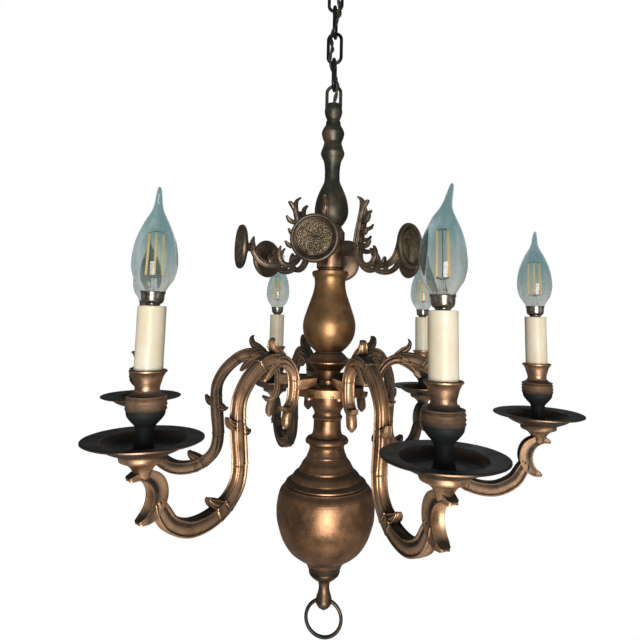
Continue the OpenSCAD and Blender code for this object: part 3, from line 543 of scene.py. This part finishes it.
KEPT = {
    "canopy": DARK, "canopy_loop": DARK, "ceiling_bar": STEEL,
    "hanger_loop": STEM, "upper_baluster": STEM, "reflector_hub": TIER, "vase": GOLD,
    "arm_cap": BRONZE, "arm_plate": PLATE, "arm_screws": ARM, "drum": BRONZE, "ball": BROWN,
    "finial": DARK, "pull_ring": CHAIN,
    "column_tube": STEEL, "candle_nipples": STEEL, "sockets": SOCKET,
}
KEPT.update({f"chain_link_{i}": CHAIN for i in range(1, 5)})
for i in range(1, ARMS + 1):
    KEPT.update({f"drip_pan_{i}": DARK, f"candle_cup_{i}": CUP})
for node, material in KEPT.items():
    for material_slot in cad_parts[node].material_slots:
        material_slot.material = material

# ---------- Arms ----------

ARM_WIDTH = 11.0
OUT = CANDLE_R
MAIN = [(82, 53, 6), (100, 50.5, 6), (118, 37, 5.6), (129, 20, 5), (131, 4, 5), (129, -16, 5.5),
        (126.5, -40, 5), (130, -58, 5.4), (143, -71.5, 6), (161, -78.5, 6.3), (OUT - 44, -78.5, 6.3),
        (OUT - 27, -70, 6), (OUT - 18, -58, 5.5), (OUT - 14, -50, 4)]
MAIN_SEAMS = [(107, 48), (131, 1), (126.6, -40), (142, -71), (152, -76)]
SCROLL = [(102, 33, 1.4), (96, 40, 3.2), (88, 47.5, 4.6), (77, 51.5, 4.8), (66, 46.5, 4), (58.5, 36, 3.5),
          (57, 22, 3.5), (58.6, 10, 3.5), (63, 3.6, 3), (69, 1.8, 2.2), (75.4, 5.4, 0.6)]
SCROLL_SEAMS = [(57.5, 30)]
BUD = [(60.4, 8, 3.4), (62.6, 3.4, 4), (64.8, -2, 5), (66, -7.4, 5.4), (66.6, -11.6, 5), (66.8, -14.6, 3.8),
       (66.9, -16.4, 2)]
LEAVES = [
    # horn on the crown
    [(76, 55, 3), (84, 60.4, 3.6), (89.4, 64.6, 2.6), (91, 70, 1.6), (89, 73.6, 0.6)],
    # outer and inner spur halfway down
    [(130, -5, 4.6), (137, -3.4, 3.4), (141, -0.4, 2), (143.5, 4, 0.6)],
    [(130, -6, 4), (122, -11, 3), (116.5, -10, 0.6)],
    # spur over the bend
    [(146, -71, 5), (153, -67, 4), (159, -63, 2.2), (161, -60, 0.6)]]
LEAF_WIDTH = ARM_WIDTH - 1.2
CRESCENT_CENTRE = (OUT + 3.5, -44.5)
CRESCENT_R = 17.6
CRESCENT_START, CRESCENT_STEP = 66, 24.5        # degrees
CRESCENT_HALF = (1.6, 3, 4.6, 5.8, 6.3, 6.3, 5.4, 3.8, 1.4)


def crescent():
    """An arc that is thick in its middle, from under the pan round to the beak."""
    points = []
    for i, half in enumerate(CRESCENT_HALF):
        a = math.radians(CRESCENT_START + i * CRESCENT_STEP)
        points.append((CRESCENT_CENTRE[0] + CRESCENT_R * math.cos(a),
                       CRESCENT_CENTRE[1] + CRESCENT_R * math.sin(a), half))
    return points


SEAT = [(0, -10.9), (17.6, -10.9), (17.8, -11.3), (17.8, -14.6), (17.3, -16), (16, -16.7), (13.6, -17.5),
        (11, -19.2), (8.8, -21.4), (7.2, -24), (6.4, -27), (5, -30), (0, -30)]
LUG_FOOT = box_mm("arm_plate")[1][2] + 2 * SEAT_GAP - PAN_Z
LUG_HEIGHT = 11.5
LUG = ((25, -ARM_WIDTH / 2, LUG_FOOT), (57, ARM_WIDTH / 2, LUG_FOOT + LUG_HEIGHT))
LUG_BEVEL = 1.2


def build_arm():
    """One arm along +X, with its seat under the pan and the lug that stands on the plate."""
    shape = Shape()
    band(shape, MAIN, ARM_WIDTH, seams=MAIN_SEAMS)
    band(shape, SCROLL, ARM_WIDTH, seams=SCROLL_SEAMS)
    band(shape, BUD, ARM_WIDTH, round_section)
    for leaf in LEAVES:
        band(shape, leaf, LEAF_WIDTH, step=1.0)
    band(shape, crescent(), ARM_WIDTH, trough_section, step=1.2)
    verts, faces = lathe(SEAT, 72)
    shape.add([(x + OUT, y, z) for x, y, z in verts], faces)
    block(shape, *LUG, LUG_BEVEL)
    return shape


arm_shape = build_arm()
for i in range(1, ARMS + 1):
    arm = arm_shape.turned((i - 1) * ARM_STEP, (0, 0, PAN_Z)).object(f"scroll_arm_{i}", ARM)
    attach(arm, "fixture")
    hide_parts(f"arm_{i}")

# ---------- Upper tier ----------

BRACKET_WIDTH = 6.0
BRACKET = [
    # foot on the collar
    [(15.5, 4, 8), (26, 5, 7), (33, 4, 5), (38, 1, 3.6)],
    # upright stalk, and the leaves on its outer side from the top down
    [(37, -4, 2.8), (36.8, 6, 3.2), (38.4, 20, 3), (41.6, 36, 2.6), (44, 48, 2.4), (43, 57, 1.8),
     (38, 61.4, 0.8)],
    [(43.4, 44, 1.8), (46.6, 50, 2.2), (50, 54, 1.8), (52.4, 55.4, 0.8)],
    [(41.4, 33, 1.8), (46, 32.4, 2.2), (51, 34.4, 1.9), (54.4, 39, 0.7)],
    [(39.4, 20, 1.8), (44, 19, 2.2), (48.6, 20.4, 1.8), (51.6, 24.6, 0.7)],
    [(38, 8, 1.8), (44, 5.2, 2.4), (50.4, 5.6, 2.1), (55, 10, 0.8)],
    # first scroll and its leaf
    [(37, 2, 3), (38, -6, 3), (43, -13.6, 2.9), (50, -17, 2.8), (57, -15.4, 2.6), (61, -9, 2.4),
     (61.8, -2, 1.8), (60, 4, 0.7)],
    [(61, -9, 2), (58.6, -3.6, 1.8), (55.4, 1.4, 0.7)],
    # second scroll, which carries the disc, and its leaf
    [(56, -14.6, 2.2), (63, -17.4, 2.6), (72, -18.4, 2.7), (80, -16, 2.7), (86.4, -10.6, 2.8), (90.6, -3, 3),
     (92, 5, 2.4), (90.8, 12, 0.7)],
    [(70, -17, 2), (73, -12.6, 1.8), (73.8, -9, 0.7)]]
REFLECTOR_T = 8.0
REFLECTOR_BACK = REFLECTOR_FRONT - REFLECTOR_T
BOSS = [(4.5, -9), (4.4, -4), (5, -3), (6.6, -2.4), (7, -1.6), (7, -0.4), (6.8, -0.1)]


def laid_out(verts, distance):
    """Turns a lathe's z axis outwards and sets it at that distance."""
    return [(z + distance, y, -x) for x, y, z in verts]


def build_bracket():
    shape = Shape()
    for points in BRACKET:
        band(shape, points, BRACKET_WIDTH, step=1.1)
    verts, faces = lathe(BOSS[::-1], 40)
    shape.add(laid_out(verts, REFLECTOR_BACK), faces)
    return shape


# the disc's profile goes from its back round to its front, so its faces point inwards
DISC_EDGE = spline([(18, 0.8), (22, 2), (24, 4.4), (23.2, 7.2), (21.8, 8)], 4)
DISC = [(0.1, 0), (13, 0)] + [tuple(p) for p in DISC_EDGE] + [
    (20.9, 7.7), (20.2, 6.6), (19.5, 5.9), (18.9, 5.8), (18.5, 6.6), (18.0, 7.1), (17.4, 6.9), (17.3, 6.2)]

ROSETTE_R = 17.4
ROSETTE_SPOKES, ROSETTE_CIRCLES = 240, 64
ROSETTE_FLOOR = 6.2
ROSETTE_HEIGHT = 1.0
ROSETTE_SKIRT = 0.4
ROSETTE_GRAINS = 210
GOLDEN_ANGLE = math.pi * (3 - math.sqrt(5))
# places, sizes and heights of the florets, as shares of the rosette's radius and height
grain_random = np.random.default_rng(7)
grain_share = np.sqrt((np.arange(ROSETTE_GRAINS) + 0.5) / ROSETTE_GRAINS) * 0.86
grain_angle = GOLDEN_ANGLE * np.arange(ROSETTE_GRAINS) + grain_random.uniform(-0.05, 0.05, ROSETTE_GRAINS)
grain_size = grain_random.uniform(0.03, 0.052, ROSETTE_GRAINS)
grain_height = grain_random.uniform(0.5, 1.0, ROSETTE_GRAINS)


def rosette_relief(r, a):
    """Height of the cast flower work at a share r of its radius and an angle a: florets on a spiral, with
    curled leaves under them, and a beaded border."""
    x = r * math.cos(a) - grain_share * np.cos(grain_angle)
    y = r * math.sin(a) - grain_share * np.sin(grain_angle)
    distance = np.hypot(x, y) / grain_size
    turn = np.arctan2(y, x)
    florets = (grain_height * np.exp(-(distance * (1 + 0.3 * np.cos(5 * turn))) ** 2)).max()
    leaves = 0.3 * abs(math.sin(7 * a + 12 * r)) + 0.25 * math.sin(11 * a - 17 * r)
    border = math.exp(-((r - 0.94) / 0.03) ** 2) * (0.6 + 0.4 * math.cos(60 * a))
    return max(florets, 0.9 * border) + leaves * min(1, 3 * r) * (r < 0.88)


def build_disc():
    verts, faces = lathe(DISC, 96)
    return Shape().add(laid_out(verts, REFLECTOR_BACK), faces)


def build_rosette():
    """The relief in the disc's middle, with a skirt that goes down into the disc."""
    verts = [(REFLECTOR_BACK + ROSETTE_FLOOR + ROSETTE_HEIGHT * rosette_relief(0, 0), 0, 0)]
    for k in range(1, ROSETTE_CIRCLES + 1):
        share = k / ROSETTE_CIRCLES
        for j in range(ROSETTE_SPOKES):
            a = math.tau * j / ROSETTE_SPOKES
            relief = ROSETTE_HEIGHT * rosette_relief(share, a) if k < ROSETTE_CIRCLES else -ROSETTE_SKIRT
            verts.append((REFLECTOR_BACK + (ROSETTE_FLOOR + relief),
                          ROSETTE_R * share * math.cos(a), ROSETTE_R * share * math.sin(a)))
    faces = [[0, 1 + j, 1 + (j + 1) % ROSETTE_SPOKES] for j in range(ROSETTE_SPOKES)]
    for k in range(ROSETTE_CIRCLES - 1):
        a, b = 1 + k * ROSETTE_SPOKES, 1 + (k + 1) * ROSETTE_SPOKES
        faces += [[a + j, b + j, b + (j + 1) % ROSETTE_SPOKES, a + (j + 1) % ROSETTE_SPOKES]
                  for j in range(ROSETTE_SPOKES)]
    return Shape().add(verts, faces)


bracket_shape, disc_shape, rosette_shape = build_bracket(), build_disc(), build_rosette()
for i in range(1, ARMS + 1):
    angle, lift = (i - 0.5) * ARM_STEP, (0, 0, REFLECTOR_Z)
    bracket = bracket_shape.turned(angle, lift).object(f"scroll_bracket_{i}", BRACKET_METAL)
    disc = disc_shape.turned(angle, lift).object(f"reflector_disc_{i}", DISC_METAL, 60)
    rosette = rosette_shape.turned(angle, lift).object(f"rosette_{i}", ROSETTE, 80)
    for piece, replaced in ((bracket, "reflector_brackets"), (disc, "reflectors"), (rosette, "reflectors")):
        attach(piece, "fixture")
        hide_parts(replaced)

# ---------- Sleeves and bulbs ----------

# (height over the glass's foot, radius, share of the lean) from the collar to the drawn tip
FLAME = [(0, 9.2, 0), (3, 10.8, 0), (6.4, 13, 0), (10.6, 15.45, 0), (17.6, 17.3, 0), (22.5, 17.7, 0),
         (28.2, 17.45, 0), (35.2, 16.5, 0.02), (42.2, 14.8, 0.06), (49.2, 12.2, 0.1), (56.2, 9, 0.14),
         (60, 6.9, 0.22), (64.7, 4.5, 0.4), (70.3, 3.15, 0.62), (75.9, 2.45, 0.82), (80.4, 1.75, 0.97),
         (82, 1.2, 1.0), (82.8, 0.5, 1.0)]
GLASS_WALL = 0.7
TIP_START, TIP_LIFT = 70, 0.4          # over this height the bore's rings stand that much higher
LEAN = 7.2                             # how far the tip stands to the side
LEAN_ANGLES = (60, 40, -112, 10, 60, 70)       # of each tip, from its arm's direction
FILAMENTS = 4
FILAMENT_FOOT, FILAMENT_TOP = 13.0, 46.0
FILAMENT_OFF = 6.3                     # of a filament's foot from the bulb's axis
FILAMENT_DRAWN_IN = 0.86               # its top stands at this share of that
FILAMENT_R = 0.9
FILAMENT_TURNS = (76, 88, 105, 74, 28, 42)      # of each bulb's set of filaments, from +X
FIRST_FILAMENT = 45
MAST_R, WIRE_R = 0.42, 0.28


def build_flame(segments=64):
    """The glass as a closed skin: its outside from the tip down, then its inside up again."""
    outer = spline(FLAME, 4)
    inner = [(z + (TIP_LIFT if z > TIP_START else 0.0), r - GLASS_WALL, lean)
             for z, r, lean in outer if r > 2 * GLASS_WALL]
    profile = [tuple(p) for p in outer[::-1]] + inner
    ring_list = []
    for z, r, lean in profile:
        r = max(r, 0.02)
        ring_list.append([(lean * LEAN + r * math.cos(-math.tau * j / segments),
                           r * math.sin(-math.tau * j / segments), z) for j in range(segments)])
    return Shape().add(*rings(ring_list))


COLLAR = [(0, -1.6), (9.4, -1.6), (9.6, -1.1), (9.5, -0.5), (9.2, -0.2), (9.0, -0.4), (8.9, -1.6), (8.9, -3),
          (8.75, -5), (8.55, -7), (8.0, -8.4), (7.0, -9.3), (6.4, -9.7), (5.95, -9.9)]
THREAD_R, THREAD_PITCH, THREAD_TURNS, THREAD_DEPTH = 5.95, 2.54, 6, 0.9
THREAD_STEPS = 6
THREAD_START = 0.4
GLASS_STEM = [(0, 15), (0.5, 14.8), (0.75, 14), (1.0, 12.6), (1.6, 11.8), (2.3, 11), (2.4, 9.6), (2.6, 6),
              (3.4, 2.6), (4.6, 0.3), (0, 0.2)]


def build_collar():
    """The nickel collar, its screw shell with a plain ring for each thread, and the foot contact."""
    profile = list(COLLAR)
    z = COLLAR[-1][1]
    for turn in range(THREAD_TURNS):
        for step in range(THREAD_STEPS):
            depth = THREAD_DEPTH / 2 * (1 - math.cos(math.tau * step / THREAD_STEPS))
            profile.append((THREAD_R - depth, z - THREAD_PITCH * (turn + step / THREAD_STEPS) - THREAD_START))
    foot = profile[-1][1]
    profile += [(5.0, foot - 0.8), (3.0, foot - 2.4), (2.4, foot - 3.0), (2.2, foot - 3.6), (0, foot - 3.6)]
    return Shape().add(*lathe(profile, 72))


def filament_angle(k):
    return math.radians(FIRST_FILAMENT + 360 / FILAMENTS * k)


def build_filaments():
    shape = Shape()
    for k in range(FILAMENTS):
        a = filament_angle(k)
        foot, top = FILAMENT_OFF, FILAMENT_OFF * FILAMENT_DRAWN_IN
        path = [(np.cos(a) * (foot + (top - foot) * t), np.sin(a) * (foot + (top - foot) * t),
                 FILAMENT_FOOT + (FILAMENT_TOP - FILAMENT_FOOT) * t) for t in np.linspace(0, 1, 9)]
        shape.add(*tube(path, FILAMENT_R, 12))
    return shape


def build_wires():
    """Support wires: from the stem out to each filament's foot, and a spider that holds their tops."""
    shape = Shape()
    shape.add(*tube([(0, 0, 13), (0.1, 0, 26), (0, 0.1, 38), (0, 0, FILAMENT_TOP + 2.6)], MAST_R, 8))
    for k in range(FILAMENTS):
        a = filament_angle(k)
        c, s = math.cos(a), math.sin(a)
        foot = spline([(0.5 * c, 0.5 * s, 10.5), (2.6 * c, 2.6 * s, 11.6), (5.4 * c, 5.4 * s, 12.2),
                       (6.2 * c, 6.2 * s, FILAMENT_FOOT + 0.6)], 4)
        top = spline([(0, 0, FILAMENT_TOP + 2.2), (1.8 * c, 1.8 * s, FILAMENT_TOP + 1.9),
                      (4.6 * c, 4.6 * s, FILAMENT_TOP + 1.2), (5.4 * c, 5.4 * s, FILAMENT_TOP - 0.6)], 4)
        shape.add(*tube(foot, WIRE_R, 8))
        shape.add(*tube(top, WIRE_R, 8))
    return shape


SLEEVE_WALL = 1.2
SLEEVE_UNEVEN = 0.09


def build_sleeve(segments=72):
    """An open tube with a soft top edge and slightly uneven sides."""
    length = SLEEVE_TOP - SLEEVE_FOOT
    outer = [(SLEEVE_R - 1.0, length), (SLEEVE_R - 0.4, length - 0.12), (SLEEVE_R - 0.08, length - 0.5)]
    outer += [(SLEEVE_R, z) for z in np.linspace(length - 1, 0, 24)]
    bore_r = SLEEVE_R - SLEEVE_WALL
    inner = [(bore_r, 0), (bore_r, length - 0.5), (bore_r + 0.15, length - 0.1)]
    ring_list = []
    for r, z in outer + inner:
        uneven = SLEEVE_UNEVEN if r > SLEEVE_R - 0.1 else 0.0
        ring = []
        for a in -math.tau * np.arange(segments) / segments:
            here = r - uneven * (1 + math.sin(3 * a + z / 7) * math.cos(z / 11 + a))
            ring.append((here * math.cos(a), here * math.sin(a), z))
        ring_list.append(ring)
    return Shape().add(*rings(ring_list, wrap=True))


flame_shape, collar_shape, sleeve_shape = build_flame(), build_collar(), build_sleeve()
filament_shape, wire_shape = build_filaments(), build_wires()
stem_shape = Shape().add(*lathe(GLASS_STEM, 32))


def leaned(shape, angle):
    """A copy turned about the bulb's own axis."""
    return shape.turned(math.radians(angle))


for i in range(1, ARMS + 1):
    angle = (i - 1) * ARM_STEP
    lean = LEAN_ANGLES[i - 1]
    sleeve = sleeve_shape.turned(angle, (CANDLE_R, 0, SLEEVE_FOOT)).object(f"candle_sleeve_{i}", SLEEVE)
    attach(sleeve, "fixture")
    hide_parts(f"sleeve_{i}")
    at_bulb = (CANDLE_R, 0, GLASS_FOOT)
    glass = leaned(flame_shape, lean).turned(angle, at_bulb).object(f"flame_glass_{i}", GLASS, 180)
    collar = leaned(collar_shape, lean).turned(angle, at_bulb).object(f"lamp_collar_{i}", NICKEL)
    stem = leaned(stem_shape, lean).turned(angle, at_bulb).object(f"glass_stem_{i}", STEM_GLASS, 180)
    turn = FILAMENT_TURNS[i - 1] - FIRST_FILAMENT - math.degrees(angle)
    filaments = leaned(filament_shape, turn).turned(angle, at_bulb).object(f"filaments_{i}", FILAMENT)
    wires = leaned(wire_shape, turn).turned(angle, at_bulb).object(f"support_wires_{i}", NICKEL)
    for piece in (glass, collar, stem, filaments, wires):
        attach(piece, f"bulb_{i}")
    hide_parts(f"bulb_glass_{i}")
    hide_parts(f"bulb_base_{i}")

# ---------- Supply cord ----------

LINK_WIRE = 4.0
LINK_GAP = 0.2
CORD_D = 5.0
LINK_BORE = 12.0
LINKS = 4
CORD_BESIDE = LINK_WIRE / 2 + CORD_D / 2 + 0.5          # off the axis in X and Y, where links meet
CORD_THROUGH = LINK_BORE / 2 - CORD_D / 2 - 0.7         # off the axis in the middle of a link
# the quadrants that the cord takes past the meeting places, and the sides it crosses between them
QUADRANTS = [(1, -1), (1, 1), (-1, 1), (-1, -1), (1, -1)]
CROSSINGS = [(1, 0), (0, 1), (-1, 0), (0, -1)]
LOOP_FOOT = -47.0        # foot of the canopy loop's collar
END_LOOP_H = 26.0        # from the knob to the top of the loop over it
KNOB_TOP = box_mm("hanger_loop")[1][2] - END_LOOP_H
KNOB_H = 19.4
# heights where one link hangs in the next, from the top down
meets = [box_mm(name)[1][2] - LINK_WIRE - LINK_GAP / 2
         for name in [f"chain_link_{i}" for i in range(1, LINKS + 1)] + ["hanger_loop"]]


def cord_route():
    """The cord's centreline, and where in it each link's middle falls."""
    route = [(0, 0, -6), (0, 0, -17.5), (0, 0, LOOP_FOOT + 2), (0.6, -0.6, LOOP_FOOT - 2.5)]
    middles = []
    for k in range(LINKS + 1):
        route.append((QUADRANTS[k][0] * CORD_BESIDE, QUADRANTS[k][1] * CORD_BESIDE, meets[k]))
        if k < LINKS:
            middles.append(len(route))
            route.append((CROSSINGS[k][0] * CORD_THROUGH, CROSSINGS[k][1] * CORD_THROUGH,
                          (meets[k] + meets[k + 1]) / 2))
    route += [(0.6, -0.6, KNOB_TOP + 3), (0, 0, KNOB_TOP - 1.5), (0, 0, KNOB_TOP - KNOB_H / 2),
              (0, 0, KNOB_TOP - KNOB_H - 20)]
    return route, middles


CORE_R = 1.35
CORE_OFF = 1.1           # of each core from the cord's centreline
CORD_STEPS = 12
TWIST_PITCH = 26.0


def build_cord():
    """A twisted pair, cut in the middle of each link so that every piece spans one joint."""
    route, middles = cord_route()
    centre = spline(route, CORD_STEPS)
    lengths = np.concatenate([[0], np.cumsum(np.linalg.norm(np.diff(centre, axis=0), axis=1))])
    along = np.gradient(centre, axis=0)
    along /= np.linalg.norm(along, axis=1)[:, None]
    side = np.cross(along, (0.0, 1.0, 0.0))
    side /= np.linalg.norm(side, axis=1)[:, None]
    other = np.cross(along, side)
    cuts = [0] + [m * CORD_STEPS for m in middles] + [len(centre) - 1]
    shapes = []
    for a, b in zip(cuts, cuts[1:]):
        shape = Shape()
        for strand in (0, math.pi):
            turn = (math.tau * lengths / TWIST_PITCH + strand)[:, None]
            path = centre + CORE_OFF * (side * np.cos(turn) + other * np.sin(turn))
            shape.add(*tube(path[a:b + 1], CORE_R, 14))
        shapes.append(shape)
    return shapes


for k, shape in enumerate(build_cord()):
    piece = shape.object(f"cord_{k + 1}", CORD)
    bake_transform(piece)
    if k == 0:
        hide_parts("supply_cord")

# ---------- Camera, light and stage ----------

VIEW_AZIMUTH = math.radians(8.6)
VIEW_DISTANCE = 0.562
VIEW_HEIGHT = 0.091      # over the pans' rims
VIEW_PITCH = math.radians(6.55)
VIEW_ROLL = math.radians(1.15)
SENSOR = 36.0
LENS = 27.5
SHIFT_X, SHIFT_Y = -0.0163, -0.085


def add_camera():
    data = bpy.data.cameras.new("camera")
    data.sensor_width = SENSOR
    data.lens = LENS
    data.shift_x = SHIFT_X
    data.shift_y = SHIFT_Y
    camera = bpy.data.objects.new("camera", data)
    bpy.context.scene.collection.objects.link(camera)
    ahead = np.array([-math.sin(VIEW_AZIMUTH), math.cos(VIEW_AZIMUTH), 0])
    right = np.array([math.cos(VIEW_AZIMUTH), math.sin(VIEW_AZIMUTH), 0])
    up = np.array([0, 0, 1])
    look = ahead * math.cos(VIEW_PITCH) + up * math.sin(VIEW_PITCH)
    top = up * math.cos(VIEW_PITCH) - ahead * math.sin(VIEW_PITCH)
    side = right * math.cos(VIEW_ROLL) + top * math.sin(VIEW_ROLL)
    top = top * math.cos(VIEW_ROLL) - right * math.sin(VIEW_ROLL)
    eye = -ahead * VIEW_DISTANCE + up * (PAN_Z * MM + VIEW_HEIGHT)
    matrix = np.identity(4)
    matrix[:3, 0], matrix[:3, 1], matrix[:3, 2], matrix[:3, 3] = side, top, -look, eye
    camera.matrix_world = Matrix(matrix.tolist())
    bpy.context.scene.camera = camera


# name, azimuth, elevation, distance, width, height, power, colour. Azimuth 0 is behind the camera.
LIGHTS = [
    ("key", 3, -10, 2.4, 0.8, 1.5, 50, (1.0, 0.97, 0.92)),
    ("fill_right", 62, 8, 2.4, 1.0, 1.4, 3, (1.0, 0.95, 0.88)),
    ("fill_left", -75, 12, 2.6, 1.2, 1.6, 1.5, (0.85, 0.97, 1.0)),
    ("back", 175, 35, 2.6, 1.8, 1.6, 8, (1, 1, 1))]


def add_area_light(name, azimuth, elevation, distance, width, height, power, colour):
    """A soft light that faces the middle of the fixture."""
    target = np.array([0, 0, PAN_Z * MM])
    a = VIEW_AZIMUTH + math.radians(azimuth)
    e = math.radians(elevation)
    away = np.array([math.sin(a) * math.cos(e), -math.cos(a) * math.cos(e), math.sin(e)])
    data = bpy.data.lights.new(name, "AREA")
    data.shape = "RECTANGLE"
    data.size, data.size_y = width, height
    data.energy = power
    data.color = colour
    light = bpy.data.objects.new(name, data)
    bpy.context.scene.collection.objects.link(light)
    light.visible_camera = False
    light.visible_transmission = False      # the bulbs' glass shows the plain background
    side = np.cross((0, 0, 1), away)
    side /= np.linalg.norm(side)
    matrix = np.identity(4)
    matrix[:3, 0], matrix[:3, 1], matrix[:3, 2] = side, np.cross(away, side), away
    matrix[:3, 3] = target + away * distance
    light.matrix_world = Matrix(matrix.tolist())


def seen_white(tree, lit, glossy_share):
    """Mixes what is lit with plain white, which the camera, the glass and, by a share, the metal see."""
    path = tree.nodes.new("ShaderNodeLightPath")
    glossy = tree.nodes.new("ShaderNodeMath")
    glossy.operation = "MULTIPLY"
    glossy.inputs[1].default_value = glossy_share
    tree.links.new(path.outputs["Is Glossy Ray"], glossy.inputs[0])
    seen = path.outputs["Is Camera Ray"]
    for other in (path.outputs["Is Transmission Ray"], glossy.outputs[0]):
        most = tree.nodes.new("ShaderNodeMath")
        most.operation = "MAXIMUM"
        tree.links.new(seen, most.inputs[0])
        tree.links.new(other, most.inputs[1])
        seen = most.outputs[0]
    mix = tree.nodes.new("ShaderNodeMixShader")
    tree.links.new(seen, mix.inputs[0])
    tree.links.new(lit, mix.inputs[1])
    return mix


AMBIENT_TINT = (0.96, 0.98, 0.97, 1)
AMBIENT_STRENGTH = 0.12
GLOSSY_SHARE = 0.02      # how much of the plain white the metal reflects


def add_world(strength, glossy_share):
    world = bpy.data.worlds.new("studio")
    bpy.context.scene.world = world
    world.use_nodes = True
    tree = world.node_tree
    tree.nodes["Background"].inputs[0].default_value = AMBIENT_TINT
    tree.nodes["Background"].inputs[1].default_value = strength
    white = tree.nodes.new("ShaderNodeBackground")
    white.inputs[0].default_value = (1, 1, 1, 1)
    mix = seen_white(tree, tree.nodes["Background"].outputs[0], glossy_share)
    tree.links.new(white.outputs[0], mix.inputs[2])
    tree.links.new(mix.outputs[0], tree.nodes["World Output"].inputs[0])


FLOOR_DROP = 1.5
FLOOR_SIZE = 14.0


def add_floor(glossy_share):
    z = cad_bounds[0][2] - FLOOR_DROP
    half = FLOOR_SIZE / 2
    mesh = bpy.data.meshes.new("floor")
    corners = [(-half, -half, z), (half, -half, z), (half, half, z), (-half, half, z)]
    mesh.from_pydata(corners, [], [[0, 1, 2, 3]])
    floor = bpy.data.objects.new("floor", mesh)
    bpy.context.scene.collection.objects.link(floor)
    m = Nodes("floor_paint")
    m.set(Base_Color=m.mix(m.noise(3, 3), rgb(0.84, 0.84, 0.83), rgb(0.88, 0.88, 0.87)), Roughness=0.8)
    white = m.node("ShaderNodeEmission", {"Color": rgb(1, 1, 1), "Strength": 1.0})
    mix = seen_white(m.tree, m.shader.outputs[0], glossy_share)
    m.tree.links.new(white.outputs[0], mix.inputs[2])
    m.tree.links.new(mix.outputs[0], m.output.inputs[0])
    mesh.materials.append(m.material)


add_camera()
add_world(AMBIENT_STRENGTH, GLOSSY_SHARE)
add_floor(GLOSSY_SHARE)
for light in LIGHTS:
    add_area_light(*light)
bpy.context.scene.view_settings.view_transform = "Standard"
